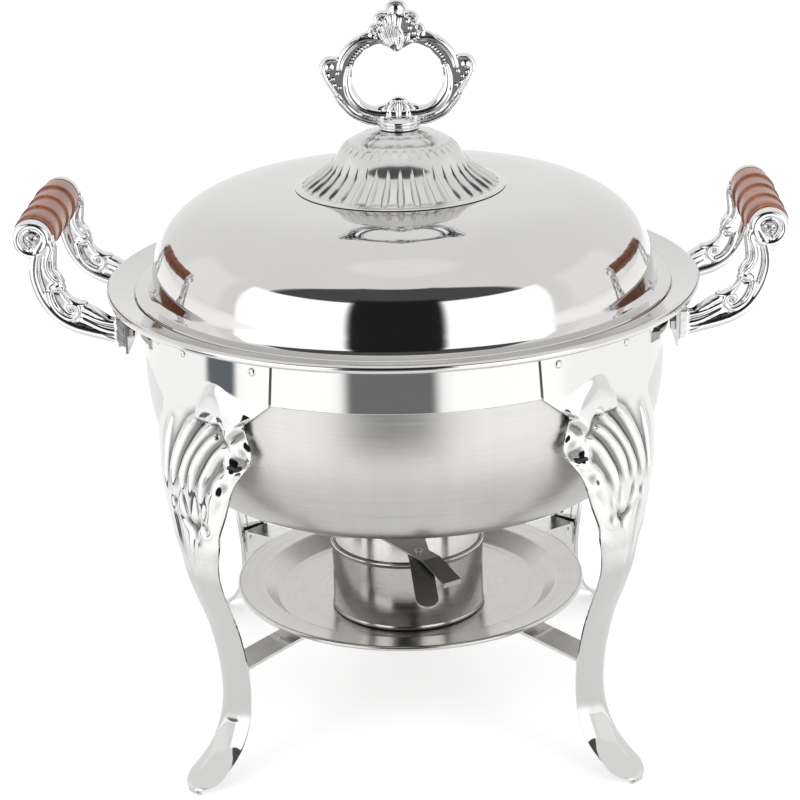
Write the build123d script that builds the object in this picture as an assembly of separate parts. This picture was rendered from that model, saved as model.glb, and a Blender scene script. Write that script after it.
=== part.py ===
from build123d import *
import math
import os

os.makedirs("parts", exist_ok=True)

# ---------------------------------------------------------------------------
# Round chafing dish on a four-leg stand.  Millimetres, +Z up.
# Origin: centre of the footprint, on the surface that the feet stand on.
# +X runs along the two side handles, -Y is the front.
# ---------------------------------------------------------------------------

# ---- driving dimensions ----------------------------------------------------
Z_RIM = 296.0            # height of the food pan's rim plane above the table
R_RIM = 190.0            # outer radius of the rolled food pan rim
SHEET = 1.2              # stainless sheet of the pans, lid and tray

HOOP_RO, HOOP_RI = 170.5, 169.3
HOOP_TOP, HOOP_BOT = Z_RIM - 7.6, Z_RIM - 35.4

WP_RO = 167.5            # water pan wall
WP_FLOOR = Z_RIM - 130.0 # water pan underside
WP_CORNER_A, WP_CORNER_B = 40.0, 80.0   # elliptical bottom corner

FP_RO = 160.5            # food pan wall
FP_DEPTH = 65.0

LID_FLANGE_R = 171.6
LID_TOP_Z = Z_RIM + 58.5

ESC_R = 67.0             # fluted bell under the lid handle
COLLAR_R = 13.2
LID_HANDLE_T = 10.0      # thickness of the cast loop

LEG_AZ = (-135.0, -45.0, 45.0, 135.0)   # degrees from +X
LEG_T = 1.5              # leg plate sheet on the hoop
LEG_BLADE_T = 2.2        # pressed section lower down
LEG_RIVET_AZ = (-16.5, -6.0, 13.5)      # rivet angles from the leg's centreline
LEG_RIVET_Z = Z_RIM - 15.0
RIVET_R = 1.6
RIVET_HEAD_R = 2.7

TRAY_R = 116.0
TRAY_FLANGE_RI = 99.0
TRAY_FLOOR_R = 88.7
TRAY_RIM_Z = Z_RIM - 210.5
TRAY_FLOOR_Z = Z_RIM - 221.5            # top face of the floor

BRACE_W, BRACE_T = 20.0, 2.0
BRACE_END_R = 157.2
HANDLE_YAW = -2.0        # both side handles sit 2 degrees round from the X axis

CUP_X, CUP_Y = -1.5, -19.0              # where the fuel holder stands
CUP_RO = 49.8
CUP_BOT_Z = TRAY_FLOOR_Z + 0.3
CUP_TOP_Z = Z_RIM - 174.0
COLLAR_RING_Z = Z_RIM - 157.0           # top of the fuel holder's collar
COLLAR_RO = 48.5
FLAME_R = 30.0
PIVOT_X, PIVOT_Y = 5.5, -94.5
PIVOT_R = 2.2
BLADE_T = 1.1
DISC_R = 36.0
FIXED_AZ = 6.0           # handle blade, degrees from -Y towards +X
LEVER_AZ = 34.0          # damper lever in its half-open rest position

GRIP_X = 227.0
HANDLE_UP = 1.35          # height added to the whole side handle
GRIP_Z = Z_RIM + 40.0 + HANDLE_UP
GRIP_LEN = 100.0
GRIP_R = 13.2
BOSS_R = 12.8
ARM_Y0, ARM_Y1 = 50.1, 59.0             # bracket thickness along Y
PLATE_X0, PLATE_X1 = 170.6, 172.2       # flat handle mounting plate


def save(shape, name):
    shape.label = name
    export_step(shape, f"parts/{name}.step")


def ring(points):
    """Closed polygon of (r, z) revolved about Z."""
    with BuildPart() as p:
        with BuildSketch(Plane.XZ):
            with BuildLine():
                Polyline(*points, close=True)
            make_face()
        revolve(axis=Axis.Z)
    return p.part


def offset_points(pts, t):
    """Points moved by t to the left of the direction of travel."""
    out = []
    n = len(pts)
    for i in range(n):
        a = pts[max(i - 1, 0)]
        b = pts[min(i + 1, n - 1)]
        dx, dz = b[0] - a[0], b[1] - a[1]
        l = math.hypot(dx, dz)
        out.append((pts[i][0] - dz / l * t, pts[i][1] + dx / l * t))
    return out


def smooth(pts, per=4):
    """Catmull-Rom through the points, with per steps for each span."""
    out = []
    n = len(pts)
    for i in range(n - 1):
        p0 = pts[max(i - 1, 0)]
        p1, p2 = pts[i], pts[i + 1]
        p3 = pts[min(i + 2, n - 1)]
        for k in range(per):
            t = k / per
            out.append(tuple(
                0.5 * (2 * p1[j] + (p2[j] - p0[j]) * t
                       + (2 * p0[j] - 5 * p1[j] + 4 * p2[j] - p3[j]) * t * t
                       + (3 * p1[j] - p0[j] - 3 * p2[j] + p3[j]) * t ** 3)
                for j in range(2)))
    out.append(pts[-1])
    return out


def cyl(r, z0, z1, x=0.0, y=0.0):
    return Pos(x, y, (z0 + z1) / 2) * Cylinder(r, z1 - z0)


def rod(p, d, r, length):
    """Cylinder from point p along direction d."""
    pl = Plane(origin=p, z_dir=d)
    return pl * (Pos(0, 0, length / 2) * Cylinder(r, length))


def unit(az):
    a = math.radians(az)
    return math.cos(a), math.sin(a)


def only(shape):
    """The largest solid of a boolean result."""
    s = sorted(shape.solids(), key=lambda q: q.volume)
    return s[-1]


# ---------------------------------------------------------------------------
# STAND
# ---------------------------------------------------------------------------
hoop = ring([(HOOP_RI, HOOP_BOT), (HOOP_RO, HOOP_BOT), (HOOP_RO, HOOP_TOP), (HOOP_RI, HOOP_TOP)])

# leg section in the (r, z) plane, outer face, from the plate down to the toe
leg_outer_low = [(171.6, -57), (173.0, -70), (176.0, -82), (180.0, -93.5), (182.0, -108),
                 (183.0, -120), (183.6, -133.5), (181.5, -154), (178.8, -165), (173.8, -177),
                 (167.2, -195), (161.2, -220.5), (159.8, -242), (162.4, -259), (170.2, -273.5),
                 (183.6, -284.0), (198.3, -291.5)]
# half-width of the leg against z, and how far the outline stands off the
# centreline towards the side handle
leg_half = [(-9.5, 59, 6.8), (-35.5, 57, 6.8), (-50, 39, 6.8), (-56, 39.5, 6.8), (-63, 43, 7.0), (-70, 45.5, 7.5),
            (-77, 43, 8.0), (-86, 36.5, 7.6), (-93, 33.6, 6.5), (-100, 31.2, 5.5), (-108, 28.4, 4.5),
            (-115, 25.2, 3.8), (-123, 21.5, 3.0), (-130, 21.3, 2.4), (-137, 18.5, 1.6), (-147, 16.2, 1.0),
            (-165, 15.4, 0.4), (-190, 14.4, 0), (-220, 13.7, 0), (-245, 13.3, 0), (-265, 13.6, 0), (-275, 13.8, 0),
            (-284, 13.8, 0), (-291, 12.5, 0)]


def leg_blank():
    low = [(r, Z_RIM + z) for r, z in smooth(leg_outer_low, 3)]
    inner = offset_points(low, -LEG_BLADE_T)
    inner = [(r, z) for r, z in inner if z < Z_RIM - 62]
    # flat sole under the toe
    toe_out = [(198.6, 3.0), (197.6, 0.0), (188.5, 0.0)]
    inner_rev = [q for q in reversed(inner) if q[1] > 1.5 and q[0] < 186.5]
    ri = HOOP_RO + 0.1
    pts = [(ri, Z_RIM - 9.5), (ri + LEG_T, Z_RIM - 9.5)] + low + toe_out + inner_rev \
        + [(ri, Z_RIM - 57.0)]
    with BuildPart() as p:
        with BuildSketch(Plane.XZ):
            with BuildLine():
                Polyline(*pts, close=True)
            make_face()
        revolve(axis=Axis.Z, revolution_arc=50)
    body = Rot(0, 0, -25) * p.part
    # front outline, cut along the radial direction
    right = [(h - c, Z_RIM + z) for z, h, c in leg_half] + [(11.0, 2.5), (8.5, 0.2), (5.0, -1.0)]
    left = [(-h - c, Z_RIM + z) for z, h, c in leg_half] + [(-11.0, 2.5), (-8.5, 0.2), (-5.0, -1.0)]
    outline = right + left[::-1]
    with BuildPart() as q:
        with BuildSketch(Plane(origin=(120, 0, 0), x_dir=(0, 1, 0), z_dir=(1, 0, 0))):
            with BuildLine():
                Polyline(*outline, close=True)
            make_face()
        extrude(amount=120)
    return only(body & q.part)


leg0 = leg_blank()

# rivet holes through the plate, at the leg's own azimuth 0
holes = None
for a in LEG_RIVET_AZ:
    ux, uy = unit(a)
    h = rod((160 * ux, 160 * uy, LEG_RIVET_Z), (ux, uy, 0), RIVET_R + 0.05, 20)
    holes = h if holes is None else holes + h
leg0 = only(leg0 - holes)

# two holes for the brace tab
TAB_Z = Z_RIM - 226.5
TAB_HOLE_S = 4.6
leg_names = ("leg_rear_left", "leg_front_left", "leg_front_right", "leg_rear_right")
leg_rot = {"leg_front_left": -135.0, "leg_front_right": -45.0,
           "leg_rear_right": 45.0, "leg_rear_left": 135.0}
brace_pins_cut = None
for s in (-TAB_HOLE_S, TAB_HOLE_S):
    h = rod((145, s, TAB_Z), (1, 0, 0), RIVET_R + 0.05, 25)
    brace_pins_cut = h if brace_pins_cut is None else brace_pins_cut + h
leg0 = only(leg0 - brace_pins_cut)

# left-handed legs mirror the rivet spacing
legm = mirror(leg0, about=Plane.XZ)
for name, rot in leg_rot.items():
    base = leg0 if name in ("leg_front_left", "leg_rear_right") else legm
    save(Rot(0, 0, rot) * base, name)


def rivet(az, z, r_in, r_out, head_in=0.6, head_out=1.3, rs=RIVET_R, rh=RIVET_HEAD_R):
    """Rivet along a radius, with a low inside head and a domed outside head."""
    ux, uy = unit(az)
    d = (ux, uy, 0)
    ra = r_in - head_in - 0.04
    a = rod((ra * ux, ra * uy, z), d, rh * 0.9, head_in)
    b = rod((ra * ux + 0.3 * ux, ra * uy + 0.3 * uy, z), d, rs, r_out - ra - 0.3)
    c0 = rod((r_out * ux, r_out * uy, z), d, rh, head_out * 0.5)
    c1 = rod(((r_out + head_out * 0.5) * ux, (r_out + head_out * 0.5) * uy, z), d, rh * 0.7, head_out * 0.5)
    return a + b + c0 + c1


leg_rivets = []
hoop_cut = None
for name, rot in leg_rot.items():
    sign = 1 if name in ("leg_front_left", "leg_rear_right") else -1
    for a in LEG_RIVET_AZ:
        az = rot + sign * a
        ux, uy = unit(az)
        leg_rivets.append(rivet(az, LEG_RIVET_Z, HOOP_RI, HOOP_RO + 0.1 + LEG_T))
        h = rod((160 * ux, 160 * uy, LEG_RIVET_Z), (ux, uy, 0), RIVET_R + 0.05, 20)
        hoop_cut = h if hoop_cut is None else hoop_cut + h
save(Compound(children=[s.solids()[0] for s in leg_rivets]), "leg_rivets")

# handle plate rivets, two on each side at the plate's middle
plate_rivets = []
PLATE_RIVET_Z = (Z_RIM - 15.0, Z_RIM - 27.0)
for side in (HANDLE_YAW, 180.0 + HANDLE_YAW):
    for z in PLATE_RIVET_Z:
        ux, uy = unit(side)
        plate_rivets.append(rivet(side, z, HOOP_RI, PLATE_X1))
        h = rod((160 * ux, 160 * uy, z), (ux, uy, 0), RIVET_R + 0.05, 20)
        hoop_cut = hoop_cut + h
save(Compound(children=[s.solids()[0] for s in plate_rivets]), "handle_plate_rivets")
save(only(hoop - hoop_cut), "stand_hoop")


# ---- cross braces ------------------------------------------------------------
def brace(mid_top):
    """Flat bar from leg to leg: riveted tab, slight rise, dip under the tray."""
    top = [(BRACE_END_R, Z_RIM - 221.0), (118.0, Z_RIM - 217.2), (104.5, Z_RIM - 216.2),
           (90.5, mid_top), (0.0, mid_top)]
    under = [(x, z - BRACE_T) for x, z in top]
    # the end is folded down as a tab against the inside of the leg
    tab_lo = Z_RIM - 237.0
    half = top[::-1] + [(BRACE_END_R, tab_lo), (BRACE_END_R - BRACE_T, tab_lo),
                        (BRACE_END_R - BRACE_T, Z_RIM - 221.0 - BRACE_T + 0.2)]
    half += [under[1], under[2], under[3], under[4]]
    with BuildPart() as p:
        with BuildSketch(Plane.XZ):
            with BuildLine():
                Polyline(*half, close=True)
            make_face()
        extrude(amount=BRACE_W / 2, both=True)
    one = p.part
    both = one + mirror(one, about=Plane.YZ)
    cut = rod((0, 0, mid_top - 10), (0, 0, 1), 3.05, 20)
    for sx in (1, -1):
        for s in (-TAB_HOLE_S, TAB_HOLE_S):
            cut = cut + rod((sx * (BRACE_END_R - 10), s, TAB_Z), (sx, 0, 0), RIVET_R + 0.05, 20)
    return only(both - cut)


TRAY_UNDER = TRAY_FLOOR_Z - SHEET
save(Rot(0, 0, 45) * brace(TRAY_UNDER), "brace_a")
save(Rot(0, 0, -45) * brace(TRAY_UNDER - BRACE_T - 0.05), "brace_b")

brace_rivets = []
for rot in (45.0, 135.0, 225.0, 315.0):
    for s in (-TAB_HOLE_S, TAB_HOLE_S):
        r_leg = 159.9
        a = rod((BRACE_END_R - BRACE_T - 0.9, s, TAB_Z), (1, 0, 0), RIVET_HEAD_R * 0.8, 0.9)
        b = rod((BRACE_END_R - BRACE_T, s, TAB_Z), (1, 0, 0), RIVET_R, r_leg - BRACE_END_R + BRACE_T)
        brace_rivets.append(Rot(0, 0, rot) * (a + b))
save(Compound(children=[s.solids()[0] for s in brace_rivets]), "brace_rivets")

# ---- fuel tray ----------------------------------------------------------------
tray = ring([
    (3.05, TRAY_FLOOR_Z), (TRAY_FLOOR_R, TRAY_FLOOR_Z), (TRAY_FLANGE_RI, TRAY_RIM_Z - 0.8),
    (TRAY_R - 2.2, TRAY_RIM_Z - 0.2), (TRAY_R - 0.6, TRAY_RIM_Z), (TRAY_R, TRAY_RIM_Z - 0.8),
    (TRAY_R, TRAY_RIM_Z - 2.2), (TRAY_R - 0.8, TRAY_RIM_Z - 2.8), (TRAY_R - 2.4, TRAY_RIM_Z - 2.0),
    (TRAY_R - 3.0, TRAY_RIM_Z - 0.2 - SHEET), (TRAY_FLANGE_RI + 0.7, TRAY_RIM_Z - 0.8 - SHEET),
    (TRAY_FLOOR_R + 0.7, TRAY_FLOOR_Z - SHEET), (3.05, TRAY_FLOOR_Z - SHEET)])
save(tray, "fuel_tray")
tr = cyl(5.0, TRAY_FLOOR_Z, TRAY_FLOOR_Z + 1.0) + cyl(3.0, TRAY_UNDER - 2 * BRACE_T - 0.1, TRAY_FLOOR_Z) \
    + cyl(4.6, TRAY_UNDER - 2 * BRACE_T - 1.4, TRAY_UNDER - 2 * BRACE_T - 0.1)
save(tr, "tray_rivet")

# ---- side handles ---------------------------------------------------------------
plate_profile = [(-62, Z_RIM - 8.6 - 1.4), (62, Z_RIM - 10.0), (62, Z_RIM - 32.0), (-62, Z_RIM - 32.0)]
BRACKET_SCREW_Z = Z_RIM - 20.5 + HANDLE_UP
BRACKET_SCREW_Y = 54.5


def handle_plate():
    with BuildPart() as p:
        with BuildSketch(Plane(origin=(PLATE_X0, 0, 0), x_dir=(0, 1, 0), z_dir=(1, 0, 0))):
            with BuildLine():
                Polyline(*plate_profile, close=True)
            make_face()
        extrude(amount=PLATE_X1 - PLATE_X0)
    b = p.part
    for z in PLATE_RIVET_Z:
        b = b - rod((PLATE_X0 - 5, 0, z), (1, 0, 0), RIVET_R + 0.05, 12)
    for y in (-BRACKET_SCREW_Y, BRACKET_SCREW_Y):
        b = b - rod((PLATE_X0 - 5, y, BRACKET_SCREW_Z), (1, 0, 0), 2.55, 12)
    return only(b)


hp = handle_plate()
save(Rot(0, 0, HANDLE_YAW) * hp, "handle_plate_right")
save(Rot(0, 0, 180 + HANDLE_YAW) * hp, "handle_plate_left")

# S-scroll of the cast bracket in the X-Z plane
arm_outer = [(237.8, 34.5), (234.0, 31.0), (231.2, 24.5), (231.4, 12.9), (228.2, 2.4), (222.6, -6.2),
             (215.5, -12.9), (206.8, -17.4), (195.6, -21.0), (188.3, -24.0), (183.2, -26.6), (172.3, -27.4)]
arm_inner = [(214.2, 40.0), (212.6, 36.5), (212.9, 31.7), (213.5, 24.0), (212.0, 20.6), (209.2, 16.8),
             (209.8, 11.4), (207.4, 5.8), (204.0, 1.6), (197.9, 1.0), (194.0, -1.4), (190.2, -4.6),
             (186.4, -9.0), (182.0, -12.0), (172.3, -12.6)]


def bracket(sy):
    """sy = -1 for the front bracket, +1 for the rear one."""
    y0, y1 = sorted((sy * ARM_Y0, sy * ARM_Y1))
    pts = [(x, Z_RIM + HANDLE_UP + z) for x, z in arm_outer + arm_inner[::-1]]
    with BuildPart() as p:
        with BuildSketch(Plane(origin=(0, y1, 0), x_dir=(1, 0, 0), z_dir=(0, -1, 0))):
            with BuildLine():
                Polyline(*pts, close=True)
            make_face()
        extrude(amount=y1 - y0)
    b = p.part
    boss = rod((GRIP_X, y0, GRIP_Z), (0, 1, 0), BOSS_R, y1 - y0)
    b = b + boss
    foot = Pos(PLATE_X1 + 3.1, sy * BRACKET_SCREW_Y, BRACKET_SCREW_Z) * Box(6.0, 15.0, 20.0)
    b = b + foot
    # screw holes: one along the grip, one tapped hole in the foot
    b = b - rod((GRIP_X, y0 - 1, GRIP_Z), (0, 1, 0), 2.1, y1 - y0 + 2)
    face = sy * ARM_Y1
    b = b - rod((GRIP_X, face, GRIP_Z), (0, -sy, 0), 4.9, 2.6)
    b = b - rod((PLATE_X1 - 1, sy * BRACKET_SCREW_Y, BRACKET_SCREW_Z), (1, 0, 0), 2.55, 15)
    return only(b)


for nm, sx in (("right", 1), ("left", -1)):
    for wh, sy in (("front", -1), ("rear", 1)):
        b = bracket(sy)
        if sx < 0:
            b = mirror(b, about=Plane.YZ)
        save(Rot(0, 0, HANDLE_YAW) * b, f"bracket_{nm}_{wh}")

# turned wooden grip, profile of (distance along the grip, radius), front to rear
grip_prof = [(-50, 12.2), (-47.4, 12.2), (-46.6, 12.8), (-44, 13.2), (-36, 13.7), (-27, 14.0), (-25.6, 13.9),
             (-24.9, 12.9), (-22, 12.8), (-12, 13.3), (-3, 13.2), (-0.6, 12.9), (0.4, 13.2), (8, 13.7), (18, 14.0),
             (24.2, 14.0), (25.2, 13.8), (25.9, 12.9), (30, 12.9), (38, 13.3), (45, 13.1), (47, 12.5), (50, 12.2)]


def grip():
    pts = [(grip_prof[0][0], 0.0)] + grip_prof + [(grip_prof[-1][0], 0.0)]
    with BuildPart() as p:
        with BuildSketch(Plane(origin=(0, 0, 0), x_dir=(0, 1, 0), z_dir=(-1, 0, 0))):
            with BuildLine():
                Polyline(*pts, close=True)
            make_face()
        revolve(axis=Axis.Y)
    g = p.part
    for sy in (-1, 1):
        g = g - rod((0, sy * 51, 0), (0, -sy, 0), 2.05, 24)
    return only(g)


g0 = grip()
save(Rot(0, 0, HANDLE_YAW) * (Pos(GRIP_X, 0, GRIP_Z) * g0), "grip_right")
save(Rot(0, 0, HANDLE_YAW) * (Pos(-GRIP_X, 0, GRIP_Z) * g0), "grip_left")

grip_screws = []
for sx in (1, -1):
    for sy in (-1, 1):
        face = sy * (ARM_Y1 - 2.6)
        head = rod((sx * GRIP_X, face, GRIP_Z), (0, sy, 0), 4.5, 2.0)
        cross = Pos(sx * GRIP_X, face + sy * 1.9, GRIP_Z) * Box(5.2, 2.0, 0.9) \
            + Pos(sx * GRIP_X, face + sy * 1.9, GRIP_Z) * Box(0.9, 2.0, 5.2)
        shank = rod((sx * GRIP_X, face, GRIP_Z), (0, -sy, 0), 2.0, 27.0)
        grip_screws.append(only(head - cross + shank))
save(Compound(children=[Rot(0, 0, HANDLE_YAW) * q for q in grip_screws]), "grip_screws")

bracket_screws = []
for sx in (1, -1):
    for sy in (-1, 1):
        y = sy * BRACKET_SCREW_Y
        head = Plane(origin=(sx * (PLATE_X0 - 3.2), y, BRACKET_SCREW_Z), z_dir=(sx, 0, 0)) \
            * extrude(RegularPolygon(4.4, 6), amount=3.2)
        shank = rod((sx * PLATE_X0, y, BRACKET_SCREW_Z), (sx, 0, 0), 2.5, 13.0)
        bracket_screws.append(only(head + shank))
save(Compound(children=[Rot(0, 0, HANDLE_YAW) * q for q in bracket_screws]), "bracket_screws")

# ---------------------------------------------------------------------------
# WATER PAN
# ---------------------------------------------------------------------------
def pan_curve(ro, floor_z, a, b, top_z, n=14):
    pts = [(ro, top_z)]
    for i in range(n + 1):
        t = math.pi / 2 * i / n
        pts.append((ro - a + a * math.cos(t), floor_z + b - b * math.sin(t)))
    return pts


wp_out = pan_curve(WP_RO, WP_FLOOR, WP_CORNER_A, WP_CORNER_B, Z_RIM - 7.4)
wp_in = pan_curve(WP_RO - SHEET, WP_FLOOR + SHEET, WP_CORNER_A - 0.5, WP_CORNER_B - 0.5, Z_RIM - 6.2)
bead = [(178.3, -7.4), (179.5, -7.0), (180.0, -6.0), (179.6, -5.0), (178.4, -4.6), (177.2, -4.9), (176.6, -5.7),
        (176.0, -6.2)]
water_pan = ring([(0, WP_FLOOR)] + wp_out[::-1] + [(r, Z_RIM + z) for r, z in bead] + wp_in + [(0, WP_FLOOR + SHEET)])
save(water_pan, "water_pan")

# ---------------------------------------------------------------------------
# FOOD PAN
# ---------------------------------------------------------------------------
fz = Z_RIM - FP_DEPTH
fp_in_top = Z_RIM - 3.6
food_pan = ring([
    (0, fz), (148.0, fz), (153.5, fz + 1.2), (158.0, fz + 5.0), (160.2, fz + 11.0), (FP_RO, fz + 18.0),
    (FP_RO, Z_RIM - 6.2), (161.6, Z_RIM - 4.8), (172.6, Z_RIM - 4.6), (174.0, Z_RIM - 3.2),
    (184.6, Z_RIM - 1.9), (185.6, Z_RIM - 3.4), (187.0, Z_RIM - 4.3), (188.8, Z_RIM - 4.2),
    (189.8, Z_RIM - 3.0), (R_RIM, Z_RIM - 1.6), (189.6, Z_RIM - 0.2), (188.2, Z_RIM + 0.6),
    (186.6, Z_RIM + 0.4), (185.4, Z_RIM - 0.5), (173.4, Z_RIM - 2.0), (172.2, Z_RIM - 3.5),
    (161.0, fp_in_top), (FP_RO - SHEET + 0.2, Z_RIM - 5.6), (FP_RO - SHEET, fz + 18.0),
    (159.0, fz + 11.5), (157.0, fz + 6.0), (153.0, fz + 2.3), (147.8, fz + SHEET), (0, fz + SHEET)])
save(food_pan, "food_pan")

# ---------------------------------------------------------------------------
# LID
# ---------------------------------------------------------------------------
dome = [(162.4, -1.2), (161.3, 1.0), (160.6, 5.0), (160.0, 10.0), (158.2, 20.0), (155.0, 28.5), (150.0, 35.8),
        (145.0, 41.0), (140.0, 45.0), (132.0, 49.8), (120.0, 54.2), (100.0, 57.0), (67.0, 58.5), (30.0, 58.5)]
dome = [(r, Z_RIM + z) for r, z in smooth(dome, 2)]
dome_in = offset_points(dome, SHEET)
lid = ring([(LID_FLANGE_R, Z_RIM - 3.3), (LID_FLANGE_R, Z_RIM - 2.1), (164.0, Z_RIM - 2.1)] + dome
           + [(3.3, Z_RIM + 58.5), (3.3, Z_RIM + 58.5 - SHEET)]
           + [q for q in reversed(dome_in) if q[1] > Z_RIM + 0.5 and q[0] >= 30.0] + [(160.4, Z_RIM - 3.3)])
save(lid, "lid_cover")

esc = [(ESC_R, 58.7), (ESC_R, 59.6), (62.0, 60.0), (59.5, 61.2), (57.0, 63.4), (50.0, 68.0), (44.0, 73.6), (40.6, 80.6),
       (38.0, 85.0), (34.0, 88.0), (29.0, 90.4), (20.0, 93.4), (13.2, 95.0)]
esc_out = [(r, Z_RIM + z) for r, z in esc]
esc_in = [(r - 0.9, z - 0.9) for r, z in esc_out[2:]]
escutcheon = ring(esc_out + [(3.3, Z_RIM + 95.0), (3.3, Z_RIM + 94.0), (12.6, Z_RIM + 94.0)]
                  + esc_in[::-1][1:] + [(60.8, Z_RIM + 58.7)])
save(escutcheon, "lid_escutcheon")

# loop handle outline in X-Z, one half, from the collar up to the crest
loop_out = [(13.2, 95.2), (13.2, 100.0), (18.0, 101.5), (26.0, 105.0), (34.0, 112.0), (39.0, 119.5), (42.0, 124.5),
            (47.0, 129.5), (48.6, 134.0), (47.4, 138.4), (43.0, 140.2), (38.6, 141.0), (34.0, 146.0),
            (29.0, 151.5), (21.0, 156.0), (17.4, 156.6), (16.8, 160.0), (13.6, 164.0), (13.2, 167.6),
            (9.6, 170.0), (7.0, 170.6), (6.2, 173.6), (0.0, 176.0)]
loop_in = [(0.0, 115.6), (3.5, 114.6), (8.0, 110.8), (13.0, 109.6), (20.0, 111.0), (25.0, 116.0), (27.2, 123.0),
           (27.4, 130.0), (25.0, 137.6), (19.0, 143.6), (13.0, 146.6), (8.6, 146.8), (4.0, 143.8), (0.0, 142.6)]
with BuildPart() as lh:
    with BuildSketch(Plane(origin=(0, LID_HANDLE_T / 2, 0), x_dir=(1, 0, 0), z_dir=(0, -1, 0))):
        with BuildLine():
            o = [(x, Z_RIM + z) for x, z in loop_out]
            Polyline(*(o + [(-x, z) for x, z in reversed(o[:-1])]), close=True)
        make_face()
        with BuildLine():
            i = [(x, Z_RIM + z) for x, z in loop_in]
            Polyline(*(i + [(-x, z) for x, z in reversed(i[1:-1])]), close=True)
        make_face(mode=Mode.SUBTRACT)
    extrude(amount=LID_HANDLE_T)
loop = lh.part + cyl(COLLAR_R, Z_RIM + 95.2, Z_RIM + 100.0)
loop = loop - cyl(3.05, Z_RIM + 94.0, Z_RIM + 109.0)
save(only(loop), "lid_handle")

hz = Z_RIM + 58.5 - SHEET
washer = cyl(8.0, hz - 1.2, hz - 0.02) - cyl(3.3, hz - 2, hz + 1)
save(washer, "lid_handle_washer")
sc = cyl(5.2, hz - 4.4, hz - 1.22) + cyl(3.0, hz - 1.22, Z_RIM + 107.5)
sc = sc - (Pos(0, 0, hz - 4.4) * (Box(6.4, 1.1, 3.0) + Box(1.1, 6.4, 3.0)))
save(sc, "lid_handle_screw")

# ---------------------------------------------------------------------------
# FUEL HOLDER
# ---------------------------------------------------------------------------
cb = CUP_BOT_Z
cup = ring([
    (0, cb + 2.4), (46.5, cb + 2.4), (48.2, cb + 0.6), (49.2, cb), (50.2, cb + 0.6), (50.3, cb + 1.8), (CUP_RO, cb + 2.8),
    (CUP_RO, CUP_TOP_Z - 3.2), (50.6, CUP_TOP_Z - 2.2), (50.8, CUP_TOP_Z - 1.0), (50.2, CUP_TOP_Z - 0.1),
    (49.0, CUP_TOP_Z), (48.6, CUP_TOP_Z - 0.8), (48.6, cb + 5.0), (47.2, cb + 3.6), (0, cb + 3.6)])
save(Pos(CUP_X, CUP_Y, 0) * cup, "fuel_holder_cup")
cz = COLLAR_RING_Z
collar = ring([
    (47.5, CUP_TOP_Z - 12.0), (COLLAR_RO, CUP_TOP_Z - 12.0), (COLLAR_RO, cz - 1.2), (47.6, cz), (FLAME_R, cz),
    (FLAME_R, cz - SHEET), (46.9, cz - SHEET), (47.5, cz - 2.0)])
save(Pos(CUP_X, CUP_Y, 0) * collar, "fuel_holder_collar")

HANDLE_SLOPE = 20.0      # degrees down from level
LEVER_SLOPE = 18.5       # a little less, so that the lever's lip passes over the handle


def blade(back, flat, slope_len, width, z0, slope, lip=0.0, round_end=True):
    """Strap along -Y from y=+back to the pivot at the origin, flat past it, then bent down."""
    t = BLADE_T
    # outline of the strap in its developed direction, made as two prisms
    w = width / 2
    flat_p = Pos(0, (back - flat) / 2, z0 + t / 2) * Box(width, back + flat, t)
    c, s = math.cos(math.radians(slope)), math.sin(math.radians(slope))
    side = [(-flat, z0), (-flat - slope_len * c, z0 - slope_len * s),
            (-flat - slope_len * c, z0 - slope_len * s + t / c), (-flat, z0 + t)]
    if lip:
        ye = -flat - slope_len * c
        side = [(-flat, z0), (ye + t, z0 - slope_len * s + t * s / c), (ye + t, z0 - slope_len * s - lip), (ye, z0 - slope_len * s - lip),
                (ye, z0 - slope_len * s + t / c), (-flat, z0 + t)]
    with BuildPart() as p:
        with BuildSketch(Plane(origin=(-w, 0, 0), x_dir=(0, 1, 0), z_dir=(1, 0, 0))):
            with BuildLine():
                Polyline(*side, close=True)
            make_face()
        extrude(amount=width)
    b = flat_p + p.part
    if round_end:
        # trim the tip to a tongue
        ye = -flat - slope_len * c
        keep = Pos(0, (back + ye + w) / 2, z0) * Box(width + 2, back - ye - w, 80) \
            + Pos(0, ye + w, z0) * Cylinder(w, 80)
        b = b & keep
    return b


def at_pivot(shape, az):
    return Pos(PIVOT_X, PIVOT_Y, 0) * (Rot(0, 0, az) * shape)


dist = math.hypot(PIVOT_X - CUP_X, PIVOT_Y - CUP_Y)
z_fix = COLLAR_RING_Z + 0.02
fixed = blade(dist - 33.0, 8.0, 43.0, 14.0, z_fix, HANDLE_SLOPE)
fixed = fixed - cyl(PIVOT_R + 0.02, z_fix - 2, z_fix + 4)
save(only(at_pivot(fixed, FIXED_AZ)), "fuel_holder_handle")

z_lev = z_fix + BLADE_T + 0.3
lever = blade(dist - 20.0, 13.5, 24.0, 13.0, z_lev, LEVER_SLOPE, lip=1.8, round_end=False)
lever = lever + Pos(0, dist, z_lev + BLADE_T / 2) * Cylinder(DISC_R, BLADE_T)
lever = lever - cyl(PIVOT_R + 0.06, z_lev - 2, z_lev + 4)
save(only(at_pivot(lever, LEVER_AZ)), "damper_lid")

rv = cyl(PIVOT_R, z_fix - 0.05, z_lev + BLADE_T + 0.15, PIVOT_X, PIVOT_Y) \
    + cyl(3.3, z_fix - 1.0, z_fix - 0.02, PIVOT_X, PIVOT_Y) \
    + cyl(3.1, z_lev + BLADE_T + 0.12, z_lev + BLADE_T + 1.1, PIVOT_X, PIVOT_Y)
rv = rv - cyl(1.3, z_lev + BLADE_T - 0.4, z_lev + BLADE_T + 2, PIVOT_X, PIVOT_Y)
save(only(rv), "damper_rivet")

print("pivot to cup centre", round(dist, 2))
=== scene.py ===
import math
import bpy
import bmesh
import numpy as np
from mathutils import Matrix, Vector
from mathutils.geometry import delaunay_2d_cdt


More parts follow.
